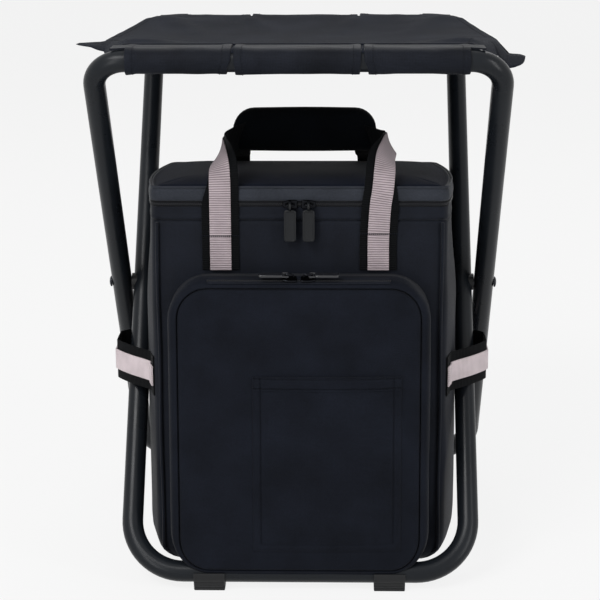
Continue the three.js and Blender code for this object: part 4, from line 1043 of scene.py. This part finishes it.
for name, node, height, bodyName, phase in (
        ("lowerZipTape", "lid_zip_lower_tape", zipBand["lower"], "base", 0.0),
        ("upperZipTape", "lid_zip_upper_tape", zipBand["upper"], "lid", 0.5)):
    makePiece(name, tapeShell(height), zipTapeCloth, bodyName, node, sharp=50)
    coil = coilShell(height + (1.6 if phase == 0 else 0.35), phase)
    makePiece(name + "Coil", coil, zipCoilNylon, bodyName)

slider = {"length": 13, "width": 8, "thick": 2, "nose": 0.36, "archHalf": 3.6, "archReach": 4.3, "wire": 0.8,
          "place": (8.2, -120.3, 344.45)}


def sliderParts():
    # Flat: nose to +X, arch up. A round-cornered plate that narrows to its nose, with bevelled edges, and an arch.
    plate = []
    for inset, up in ((0.5, 0.0), (0.1, 0.35), (0.0, 0.6), (0.0, 1.4), (0.1, 1.65), (0.5, 2.0)):
        ring = roundRing(slider["length"] / 2 - inset, slider["width"] / 2 - inset, 1.6, 5, 5)
        narrow = 1 - slider["nose"] * smoothStep(ring[:, 0] / (slider["length"] / 2))
        plate.append(pointGrid(ring[:, 0], ring[:, 1] * narrow, up))
    top = slider["thick"] + slider["archReach"]
    half = slider["archHalf"]
    rise = [(half, 0, 1.2), (half, 0, 3.6), (half - 0.25, 0, top - 0.9), (half - 1.3, 0, top)]
    wire = smoothPath([(-x, y, z) for x, y, z in rise] + rise[::-1], 40)
    return [shell(np.array(plate)), cordShell(wire, slider["wire"], hint=(0, 1, 0))]


def placed(parts, turn, move):
    # Shells turned by a matrix, then moved
    matrix = np.asarray(turn, float)
    return [(vertices @ matrix.T + move, faces, uvs) for vertices, faces, uvs in parts]


def turnAbout(axis, angle):
    c, s = math.cos(angle), math.sin(angle)
    rows = {"x": [[1, 0, 0], [0, c, -s], [0, s, c]], "y": [[c, 0, s], [0, 1, 0], [-s, 0, c]],
            "z": [[c, -s, 0], [s, c, 0], [0, 0, 1]]}
    return np.array(rows[axis])


lidPull = {"ring": 3.2, "wire": 1.15, "width": 10.6, "length": 28.5, "thick": 3, "corner": 2.6,
           "place": (8.2, -126.6, 343.48)}


def lidPullParts():
    # A wire ring, and under it a round-cornered rubber tab with a bevelled rim and a sunk middle
    ring = arcPoints(fullTurn(28), lidPull["ring"])
    ring = pointGrid(0.0, ring[:, 0], ring[:, 1])
    middle = -lidPull["ring"] - lidPull["length"] / 2
    half = lidPull["thick"] / 2
    levels = [(2.0, half - 0.45), (1.7, half - 0.42), (1.25, half), (0.5, half), (0.12, half - 0.25),
              (0, half - 0.6)]
    tab = []
    for inset, out in levels + [(inset, -out) for inset, out in levels[::-1]]:
        edge = roundRing(lidPull["width"] / 2 - inset, lidPull["length"] / 2 - inset,
                         max(lidPull["corner"] - inset, 0.6), 5, 4)
        tab.append(pointGrid(edge[:, 0], out, edge[:, 1] + middle))
    return [cordShell(ring, lidPull["wire"], closed=True, hint=(1, 0, 0)), shell(np.array(tab))]


for side, where in sides:
    turn = turnAbout("y", 0 if side > 0 else math.pi) @ turnAbout("x", math.pi / 2)
    mirror = np.array([side, 1, 1])
    makePiece(f"{where}LidSlider", placed(sliderParts(), turn, slider["place"] * mirror), zipMetal,
              f"lid_slider_{where}_body", f"lid_slider_{where}", sharp=30)
    makePiece(f"{where}LidPull", placed(lidPullParts(), np.eye(3), lidPull["place"] * mirror), pullRubber,
              f"lid_pull_{where}_body", f"lid_pull_{where}", sharp=30)
print("lid zip made")


# Front pocket
pocket = {"half": 116.4, "top": 281.6, "bottom": 15.4, "topFront": 154, "bottomFront": 171, "shoulder": 10,
          "rollAcross": 7.8, "rollTop": 5.2, "rollBottom": 4.2, "corner": 36, "wall": 2.4, "overBar": 5.2,
          "crest": 2.4, "clear": 0.4, "seam": 0.42, "barTop": 46, "lip": 3.2, "puff": 3.4}


def pocketFront(z):
    # The face leans out towards the bottom, and its last stretch passes in front of the bar
    drop = (pocket["top"] - z) / (pocket["top"] - pocket["bottom"])
    return (pocket["topFront"] + (pocket["bottomFront"] - pocket["topFront"]) * drop
            + pocket["overBar"] * smoothStep((pocket["barTop"] - z) / 26))


def pocketRing(share, wall, forward=0.0):
    # Ring at one share of the depth: flat sides, then a round shoulder in to the face's seam.
    # roll = how far into the shoulder, inset = roll's size * (1 - sqrt(1 - roll squared)) + wall
    depth = pocket["topFront"] + bag["front"]
    roll = max(0, 1 - (1 - share) * depth / pocket["shoulder"])
    turned = 1 - math.sqrt(max(0, 1 - roll * roll))
    inset = pocket["rollAcross"] * turned + wall
    low = pocket["bottom"] + pocket["rollBottom"] * turned + wall
    high = pocket["top"] - pocket["rollTop"] * turned - wall
    flat = roundRing(pocket["half"] - inset, (high - low) / 2, max(pocket["corner"] - inset, 3), 10, 22)
    z = flat[:, 1] + (high + low) / 2
    back = bag["front"] - 0.3
    y = back - (pocketFront(z) + back) * share - forward
    crest = pocket["crest"] * ridge(share - 0.55, 0.25) * smoothStep((z - high + 12) / 12)
    return pointGrid(flat[:, 0], y, z + crest)


def gussetRings():
    # Outside from the bag to the seam, a lip turned into the seam's groove, and the inside back again
    shares = np.concatenate([np.linspace(0, 0.7, 12)[:-1], 1 - 0.3 * np.cos(quarterTurn(14))])
    outer = np.array([pocketRing(share, 0) for share in shares])
    centre = outer.mean(1, keepdims=True)
    away = unit((outer - centre) * [1, 0, 1])
    ripple = np.minimum(0.6 * softNoise(outer * [1, 2, 1], size=90, seed=41), 0)
    ripple = ripple * (smoothStep((1 - shares) * 4) * smoothStep(shares * 6))[:, None]
    seamLine = -0.8 * ridge((shares - pocket["seam"]) * (pocket["topFront"] + bag["front"]), 0.9)[:, None]
    outer = outer + away * (ripple + seamLine)[..., None]
    lip = np.array([pocketRing(1, wall, forward)
                    for wall, forward in ((0.35, -0.2), (0.65, -0.8), (0.7, -pocket["lip"]))])
    inner = np.array([pocketRing(share, pocket["wall"], -pocket["lip"] * share ** 8) for share in shares])[::-1]
    return keepClear(np.concatenate([outer, lip, inner]), narrowBar, tubes["radius"] + pocket["clear"])


makePiece("pocketGusset", shell(gussetRings(), wrapRows=True), pocketOxfordPaintedShade, "base", "pocket_gusset",
          sharp=60)


def faceRings():
    # From the bottom of the seam's groove out round the edge, then rings drawn in to the middle of a puffed front
    # (puff * (1 - exp(-distance / 16)) further out than the rim). Also each ring's inset, 0 for the rim's.
    rim = [(2.6, -3.2), (1.95, -2.8), (1.75, -1.6), (1.85, -0.5), (2.3, 0.3), (3.1, 0.9), (4.4, 1.3)]
    edge, out = rim[-1]
    insets = np.concatenate([[6, 8.5], np.linspace(12, 104, 30)])
    rings = [pocketRing(1, inset, forward) for inset, forward in rim]
    rings += [pocketRing(1, inset, out + pocket["puff"] * (1 - math.exp(-(inset - edge) / 16))) for inset in insets]
    return np.array(rings), np.concatenate([np.zeros(len(rim)), insets])


rings, insets = faceRings()
faceGrid = keepClear(rings, narrowBar, tubes["radius"] + pocket["clear"])
face = makePiece("pocketFace", shell(faceGrid), pocketOxfordPaintedShade, "base", "pocket_face", sharp=60)
swell(face, freeRows(face, faceGrid, insets > 7), pressure=3, cap=3.2, push=15)

# the swelled face without its first five rows and its end points, for what is sewn on it
facePoints = np.zeros(len(face.data.vertices) * 3)
face.data.vertices.foreach_get("co", facePoints)
facePoints = facePoints.reshape(-1, 3)[faceGrid.shape[1] * 5:faceGrid.shape[0] * faceGrid.shape[1]] / millimetre


def layOn(x, z, lift):
    # Front of the pocket's face under (x, z), from its four nearest points weighted by closeness, minus the lift
    x, z = np.broadcast_arrays(x, z)
    flat = np.stack([x.ravel(), z.ravel()], 1)
    distance = ((flat[:, None] - facePoints[None, :, [0, 2]]) ** 2).sum(-1)
    nearest = np.argpartition(distance, 4, axis=1)[:, :4]
    weight = 1 / (np.take_along_axis(distance, nearest, 1) + 0.5)
    y = (facePoints[nearest, 1] * weight).sum(1) / weight.sum(1)
    return y.reshape(x.shape) - lift


def mouthLift(z, fromSide):
    # The patch's mouth stands a little open: more towards the top and the middle
    return patch["mouth"] * smoothStep((z - patch["top"] + 60) / 60) * smoothStep(fromSide / 34)


patch = {"middle": 25, "half": 66, "bottom": 39, "top": 199, "hem": 12, "thick": 1.7, "seams": (1.8, 7.2),
         "mouth": 1.6, "hemSeam": 1.6, "gap": 0.15}


def patchGrid(low, high, columns, rows, isHem):
    # Flat cloth on the face: rounded edges, sewn grooves beside them, and a mouth that stands a little open
    x = np.linspace(-patch["half"], patch["half"], columns)[None, :]
    z = np.linspace(low, high, rows)[:, None]
    fromSide = patch["half"] - np.abs(x)
    fromEdge = np.minimum(fromSide, z - patch["bottom"])
    lift = patch["thick"] * np.sqrt(np.clip(1 - (1 - np.clip(fromEdge / 1.2, 0, 1)) ** 2, 0.001, 1))
    for seamPlace in patch["seams"]:
        lift = lift - 1.15 * ridge(fromEdge - seamPlace, 0.7)
    lift = lift + 1.1 * smoothStep((fromEdge - 8) / 26) * smoothStep((patch["top"] - z) / 60)
    lift = lift + mouthLift(z, fromSide)
    if isHem:
        lift = lift + 0.6
        for seamPlace in (patch["hemSeam"], patch["hem"] - patch["hemSeam"]):
            lift = lift - 1.1 * ridge(z - low - seamPlace, 0.75)
        lift = lift * np.clip((high - z) / 0.8 + 0.25, 0, 1)
    lift = lift + 0.28 * softNoise(pointGrid(x, 0.0, z), size=60, seed=51) * smoothStep(fromEdge / 20)
    front = layOn(x + patch["middle"], z, patch["gap"])
    outer = pointGrid(x + patch["middle"], front - np.maximum(lift, 0.1), z)
    return outer, pointGrid(outer[..., 0], front - np.where(lift > 2.6, lift - 2.2, 0), outer[..., 2])


hemBase = patch["top"] - patch["hem"]
for name, node, low, high, rows, isHem in (
        ("patchPocket", "patch_pocket", patch["bottom"], hemBase - 0.1, 110, False),
        ("patchPocketHem", "patch_pocket_hem", hemBase, patch["top"], 26, True)):
    makePiece(name, twoSided(*patchGrid(low, high, 110, rows, isHem)), pocketOxfordPaintedShade, "base", node,
              sharp=60)


def patchLine(inset):
    # Down one side, along the bottom and up the other, inset from the patch's edge
    left, right = patch["middle"] - patch["half"] + inset, patch["middle"] + patch["half"] - inset
    corners = [(left, patch["top"] - 1), (left, patch["bottom"] + inset), (right, patch["bottom"] + inset),
               (right, patch["top"] - 1)]
    line = evenPath(corners, 260)
    return pointGrid(line[:, 0], layOn(line[:, 0], line[:, 1], patch["thick"] - 0.9), line[:, 1])


threads = [stitches(patchLine(inset), (0, -1, 0)) for inset in patch["seams"]]
across = np.linspace(patch["middle"] - patch["half"] + 2, patch["middle"] + patch["half"] - 2, 90)
for z in (hemBase + patch["hemSeam"], patch["top"] - patch["hemSeam"]):
    parted = mouthLift(z, patch["half"] - np.abs(across - patch["middle"]))
    y = layOn(across, z, patch["gap"]) - (patch["thick"] - 0.45 + parted)
    threads.append(stitches(pointGrid(across, y, z), (0, -1, 0)))
makePiece("patchStitches", threads, darkThread, "base")
print("pocket made")

# Pocket zip on the gusset's shoulder
pocketZip = {"half": 80, "thick": 1.4, "turn": math.radians(24), "place": (0, -149.4, 280.5), "x": 8.2,
             "pullLength": 27, "pullWidth": 8.2, "pullThick": 2.2, "pullTilt": math.radians(-17), "pullUp": 5.4,
             "tabStart": 6, "sliderBase": 2.3, "wire": 0.85}
shoulderTurn = turnAbout("x", pocketZip["turn"])


def pocketZipParts():
    # Two tapes side by side and a row of coil teeth over the line where they meet
    x = np.linspace(-pocketZip["half"], pocketZip["half"], 60)
    path = pointGrid(x, 0.0, 0.6 + pocketZip["thick"] / 2)
    tapes = []
    for side, where in sides:
        profile = roundRing(1.9, 0.45, 0.4, 3, 4) + [side * 2.05, -0.1]
        tapes.append(shell(carry(path, (0, 1, 0), (0, 0, 1), profile)))
    teeth = stitches(path + [0, 0, 0.35], (0, 0, 1), pitch=1.7, length=1.2, thick=1.1, lift=0.0)
    return tapes, [teeth]


tapes, teeth = pocketZipParts()
makePiece("pocketZipTapes", placed(tapes, shoulderTurn, pocketZip["place"]), bagOxford, "base", "pocket_zip",
          sharp=50)
makePiece("pocketZipCoil", placed(teeth, shoulderTurn, pocketZip["place"]), zipCoilNylon, "base")


def pocketPullParts():
    # A wire loop under the arch, then a flat tab outwards with bevelled edges
    loop = roundRing(3.0, 2.75, 1.4, 5, 4) + [3.9, 0]
    wire = pointGrid(loop[:, 0], loop[:, 1], 0.0)
    half = pocketZip["pullThick"] / 2
    length = pocketZip["pullLength"] - pocketZip["tabStart"]
    tab = []
    levels = [(0.9, half), (0.4, half), (0.1, half - 0.25), (0, half - 0.5)]
    for inset, up in levels + [(inset, -up) for inset, up in levels[::-1]]:
        edge = roundRing(length / 2 - inset, pocketZip["pullWidth"] / 2 - inset, 1.9 - inset / 2, 5, 4)
        tab.append(pointGrid(edge[:, 0] + pocketZip["tabStart"] + length / 2, edge[:, 1], up))
    tab = placed([shell(np.array(tab))], turnAbout("x", pocketZip["pullTilt"]), 0)
    return [cordShell(wire, pocketZip["wire"], count=8, closed=True)] + tab


for side, where in sides:
    turn = turnAbout("z", 0 if side > 0 else math.pi)
    base = pocketZip["sliderBase"]
    parts = placed(sliderParts(), turn, [side * pocketZip["x"], 0, base])
    makePiece(f"{where}PocketSlider", placed(parts, shoulderTurn, pocketZip["place"]), zipMetal,
              f"pocket_slider_{where}_body", f"pocket_slider_{where}", sharp=30)
    flip = np.diag([1.0, side, 1.0])
    parts = placed(placed(pocketPullParts(), flip, 0), turn, [side * pocketZip["x"], 0, base + pocketZip["pullUp"]])
    makePiece(f"{where}PocketPull", placed(parts, shoulderTurn, pocketZip["place"]), glossPull,
              f"pocket_pull_{where}_body", f"pocket_pull_{where}", sharp=30)
print("pocket zip made")


# Handle straps and grip
webbing = {"place": 70, "width": 19, "thick": 1.4, "backing": 33, "backingThick": 1.0, "tackHeights": (316, 318),
           "inward": 0.38, "tips": {"left": 0.22, "right": 0.33},
           # metres: from the bag to the lid
           "frontJoin": (0.3185, 0.372), "rearJoin": (0.330, 0.356)}
# (x as a distance from the middle, y, z, twist in degrees): up the front, back over the lid, and into the grip's
# end, where the strap has turned on edge with its inner edge up
frontRoutes = {
    "left": [(70, -122.3, 285, 0), (70, -122.3, 315, 0), (70, -123, 342, 0), (70, -123.4, 357, 0),
             (70.5, -119, 373, -12), (71.5, -104, 383, -45), (71.5, -84, 386, -70), (70.5, -62, 385, -90),
             (67, -44, 386, -99), (60, -32, 390, -96), (50, -24, 394, -90)],
    "right": [(70, -122.3, 285, 0), (70, -122.3, 315, 0), (71.5, -123, 342, 0), (73.6, -123.4, 357, -2),
              (75.2, -119, 373, -9), (76.6, -104, 384.5, -32), (80.3, -84, 391, -53), (79.6, -62, 390, -80),
              (74, -44, 388, -92), (66, -32, 390, -94), (56, -24, 394, -90)]}
rearRoutes = {
    "left": [(70, 82.3, 120, 0), (70, 82.3, 200, 0), (70, 82.4, 300, 0), (70, 81.2, 338, 0), (69.5, 72, 355, 0),
             (68.5, 52, 361, 2), (67, 30, 364.5, 8), (64.5, 10, 371, 30), (59, -5, 384, 70), (49, -14, 393, 90)]}
rearRoutes["right"] = rearRoutes["left"][:-2] + [(61, -5, 384, 70), (54, -14, 393, 90)]


def strapShell(route, side, profile, inward=0.0, tip=0.0):
    # Flat round-edged profile carried along the route. It turns about the path by the twist, its outer half
    # shrinks by inward above the lid, and its inner half by tip towards the grip.
    route = np.array(route, float)
    route[:, 0] *= side
    route[:, 3] *= side
    line = smoothPath(route, 170)
    path, twist = line[:, :3], np.radians(line[:, 3])[:, None]
    across, normal = pathFrame(path, (1, 0, 0))
    turned = across * np.cos(twist) + normal * np.sin(twist)
    facing = normal * np.cos(twist) - across * np.sin(twist)
    share = smoothStep((path[:, 2] - 340) / 32)[:, None] * inward
    late = smoothStep((path[:, 1] + 112) / 30)[:, None] * tip
    u = profile[None, :, 0] * np.where(profile[None, :, 0] * side > 0, 1 - share, 1 - late)
    return shell(path[:, None] + turned[:, None] * u[..., None] + facing[:, None] * profile[None, :, 1:])


def joinLid(piece, low, high):
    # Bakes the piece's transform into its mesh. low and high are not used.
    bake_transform(piece)


narrowProfile, wideProfile = (roundRing(width / 2, thick / 2, thick * 0.42, 3, 10) for width, thick in (
    (webbing["width"], webbing["thick"]), (webbing["backing"], webbing["backingThick"])))
for side, where in sides:
    front, rear, tip = frontRoutes[where], rearRoutes[where], webbing["tips"][where]
    backing = strapShell(front, side, wideProfile - [0, webbing["thick"]], webbing["inward"], tip)
    rearBacking = strapShell(rear, side, wideProfile + [0, 1.3], 0.3)
    for name, node, grid, cloth, slotName, join, sharp in (
            ("FrontStrap", "strap_front_", strapShell(front, side, narrowProfile), greyWeb, "grey_webbing", "front",
             50),
            ("StrapBacking", "strap_backing_", backing, blackWeb, "black_webbing", "front", 50),
            ("RearStrap", "strap_rear_", strapShell(rear, side, narrowProfile), greyWeb, "grey_webbing", "rear", 50),
            ("RearBacking", "", rearBacking, blackWeb, "black_webbing", "rear", 38)):
        strap = makePiece(where + name, grid, cloth, None, node and node + where, sharp=sharp)
        joinLid(strap, *webbing[join + "Join"])
    across = side * webbing["place"] + np.linspace(-16, 16, 24)
    lifted = np.where(np.abs(across - side * webbing["place"]) < 9.6, -123.15, -121.6)
    line = pointGrid(across, lifted, webbing["tackHeights"][side > 0])
    tack = stitches(line, (0, -1, 0), pitch=1.6, length=1.5, thick=0.6, lift=0.05)
    makePiece(f"{where}StrapBarTack", tack, darkThread, "base")

grip = {"half": 67, "middle": 2.9, "front": -32, "rear": -8, "bottom": 375.8, "top": 417, "corner": 20,
        "lowCorner": 8, "edge": 7, "room": 1.0}


def gripRings():
    # Round-cornered outline in (x, z), lofted from back to front, with rolled edges. It leaves room for the swell.
    edge, innerInsets = grip["edge"], (9, 11.5, 14, 16.5)
    roll = [(edge * (1 - math.sin(a)), edge * (1 - math.cos(a))) for a in quarterTurn(6)]
    rows = [(inset, grip["rear"]) for inset in innerInsets[::-1]]
    rows += [(inset, grip["rear"] - depth) for inset, depth in roll]
    rows += [(0, y) for y in np.linspace(grip["rear"] - edge, grip["front"] + edge, 5)[1:-1]]
    rows += [(inset, grip["front"] + depth) for inset, depth in roll[::-1]]
    rows += [(inset, grip["front"]) for inset in innerInsets]
    rings = []
    for inset, y in rows:
        inset = inset + grip["room"]
        size = (grip["half"] - inset, (grip["top"] - grip["bottom"]) / 2 - inset)
        flat = roundRing(*size, max(grip["corner"] - inset, 1.5), 8, 14)
        low = roundRing(*size, max(grip["lowCorner"] - inset, 1.5), 8, 14)
        flat = np.where(flat[:, 1:] < 0, low, flat)
        rings.append(pointGrid(flat[:, 0] + grip["middle"], y, flat[:, 1] + (grip["top"] + grip["bottom"]) / 2))
    return np.array(rings)


gripPad = makePiece("gripWrap", shell(gripRings()), gripNeoprene, None, "handle_grip", sharp=70)
swell(gripPad, np.ones(len(gripPad.data.vertices)), pressure=4, cap=2.0, push=15)
joinLid(gripPad, *webbing["rearJoin"])
print("handle made")

# Side straps round the narrow loop's legs
sideStrap = {"height": 37, "grey": 19, "z": 184, "reach": 33, "front": 96, "rear": 2,
             "squashX": 0.136, "keep": 0.725}       # squashX in metres


def sideRoute(side, lift):
    # Seen from above: sewn to the bag in front, out round the leg, and back to the bag behind it
    def near(y):
        return side * (bag["halfWidth"] * bagShare(y) + sideBulge(y, sideStrap["z"]) + 0.3 + lift)
    far = side * (bag["halfWidth"] + sideStrap["reach"] + lift)
    tab = sideStrap["height"] / 2
    points = [(near(y), y) for y in (-sideStrap["front"] - tab, -104, -sideStrap["front"])]
    points += [(side * (157 + lift), -76), (far - side * 1.5, -58), (far, -50), (far, -32), (far - side * 1.5, -24),
               (side * (155 + lift), -10)]
    points += [(near(y), y) for y in (sideStrap["rear"], 10, sideStrap["rear"] + tab)]
    flat = smoothPath(points, 120)
    return pointGrid(flat[:, 0], flat[:, 1], sideStrap["z"])


for side, where in sides:
    for name, node, lift, thick, height, cloth, slotName in (
            (f"{where}SideStrap", f"side_strap_{where}", 0.5, 1.0, sideStrap["height"], blackWeb, "black_webbing"),
            (f"{where}SideWebbing", f"side_webbing_{where}", 2.0, 1.4, sideStrap["grey"], paleWeb, "grey_webbing")):
        strap = ribbon(sideRoute(side, lift), (0, 0, 1), roundRing(height / 2, thick / 2, thick * 0.42, 3, 8))
        strap = makePiece(name, strap, cloth, "base", node, sharp=50)
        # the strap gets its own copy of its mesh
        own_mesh(strap)
print("side straps made")


# Back: padded panel, shoulder straps and their webbing
back = {"half": 56, "bottom": 38, "top": 318, "near": 80.3, "corner": 14, "channels": (-46, 0, 46), "depth": 2.2}


def backRings():
    # A piped edge, then a flat pad with three sewn channels across it
    insets = np.concatenate([[0.8, 0.2, 0.0, 0.3, 1.2, 2.4, 4, 6, 8.5], np.linspace(11, 53, 18)])
    depths = np.concatenate([[0, 0.4, 1.6, 2.6, 3.4, 3.8, 4.2, 4.7, 5.2], np.full(18, 5.6)])
    middle = (back["top"] + back["bottom"]) / 2
    rings = []
    for inset, depth in zip(insets, depths):
        flat = roundRing(back["half"] - inset, (back["top"] - back["bottom"]) / 2 - inset,
                         max(back["corner"] - inset, 2), 6, 40)
        channel = sum(back["depth"] * ridge(flat[:, 1] - place, 2.2) for place in back["channels"])
        channel = channel * smoothStep((inset - 1) / 3)
        rings.append(pointGrid(flat[:, 0], back["near"] + depth - channel, flat[:, 1] + middle))
    return np.array(rings)


rings = backRings()
backPanel = makePiece("backPanel", shell(rings), bagOxford, "base", "back_panel", sharp=70)
free = np.zeros(len(backPanel.data.vertices))
backMiddle = (back["top"] + back["bottom"]) / 2
groove = np.min([np.abs(rings[..., 2] - backMiddle - place) for place in back["channels"]], axis=0)
row = np.arange(rings.shape[0])[:, None]
free[:rings.shape[0] * rings.shape[1]] = ((groove > 4) & (row > 6)).ravel()
swell(backPanel, free, pressure=3, cap=2.0, push=15)

shoulder = {"place": 31, "width": 42, "thick": 8, "wall": 88.6, "top": 312, "sewn": 22, "drop": 148, "bow": 25,
            "rimInset": 1.2, "rimRadius": 1.9, "seam": 16.2, "tail": ((87.4, 92), (85.4, 74), (85.3, 66), (85.3, 46))}


def shoulderPath(count):
    # y = wall + bow * sin(pi s / 2) * (1 - s squared / 2), z falls evenly
    s = np.linspace(0, 1, count)
    bowed = np.stack([shoulder["wall"] + shoulder["bow"] * np.sin(np.pi * s / 2) * (1 - s * s / 2),
                      shoulder["top"] - shoulder["sewn"] - shoulder["drop"] * s], 1)
    line = np.concatenate([[[shoulder["wall"], shoulder["top"]], [shoulder["wall"], shoulder["top"] - 11]], bowed])
    return evenPath(line, count)


for side, where in sides:
    line = shoulderPath(90)
    path = pointGrid(side * shoulder["place"], line[:, 0], line[:, 1])
    across, normal = pathFrame(path, (1, 0, 0))
    u = np.linspace(-1, 1, 33)
    half = shoulder["thick"] / 2
    puff = half * (0.42 + 0.58 * np.clip(1 - np.abs(u) ** 6, 0, 1) ** 0.7)
    top = np.stack([u * (shoulder["width"] / 2 - 0.6), puff], 1)
    low = np.stack([top[::-1, 0], -0.8 * puff[::-1]], 1)
    profile = np.concatenate([top, low])
    strap = makePiece(f"{where}ShoulderStrap", shell(carry(path, across, normal, profile)), bagOxford, "base",
                      f"shoulder_strap_{where}", sharp=65)
    edges = []
    for edge in (-1, 1):
        binding = path + across * edge * (shoulder["width"] / 2 - shoulder["rimInset"])
        edges.append(cordShell(binding, shoulder["rimRadius"], count=8, hint=(1, 0, 0)))
    makePiece(f"{where}StrapBinding", edges, blackWeb, "base")
    seams = [stitches(path + across * edge * shoulder["seam"] + normal * (half * flip), normal * flip)
             for edge in (-1, 1) for flip in (-1, 1)]
    makePiece(f"{where}StrapStitches", seams, darkThread, "base")
    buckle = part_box(f"strap_buckle_{where}")
    low, high = (np.array(corner) / millimetre for corner in buckle)
    start = [side * shoulder["place"], (low[1] + high[1]) / 2, low[2] + 3.0]
    tail = [start] + [[start[0], y, z] for y, z in shoulder["tail"]]
    tail = smoothPath(tail, 60)
    tail = ribbon(tail, (1, 0, 0), roundRing(12.5, 0.7, 0.55, 3, 8))
    makePiece(f"{where}StrapAdjuster", tail, blackWeb, "base", f"strap_adjuster_{where}", sharp=50)
finish(["strap_buckle_left", "strap_buckle_right"], blackAcetal)
print("back made")

print("done")
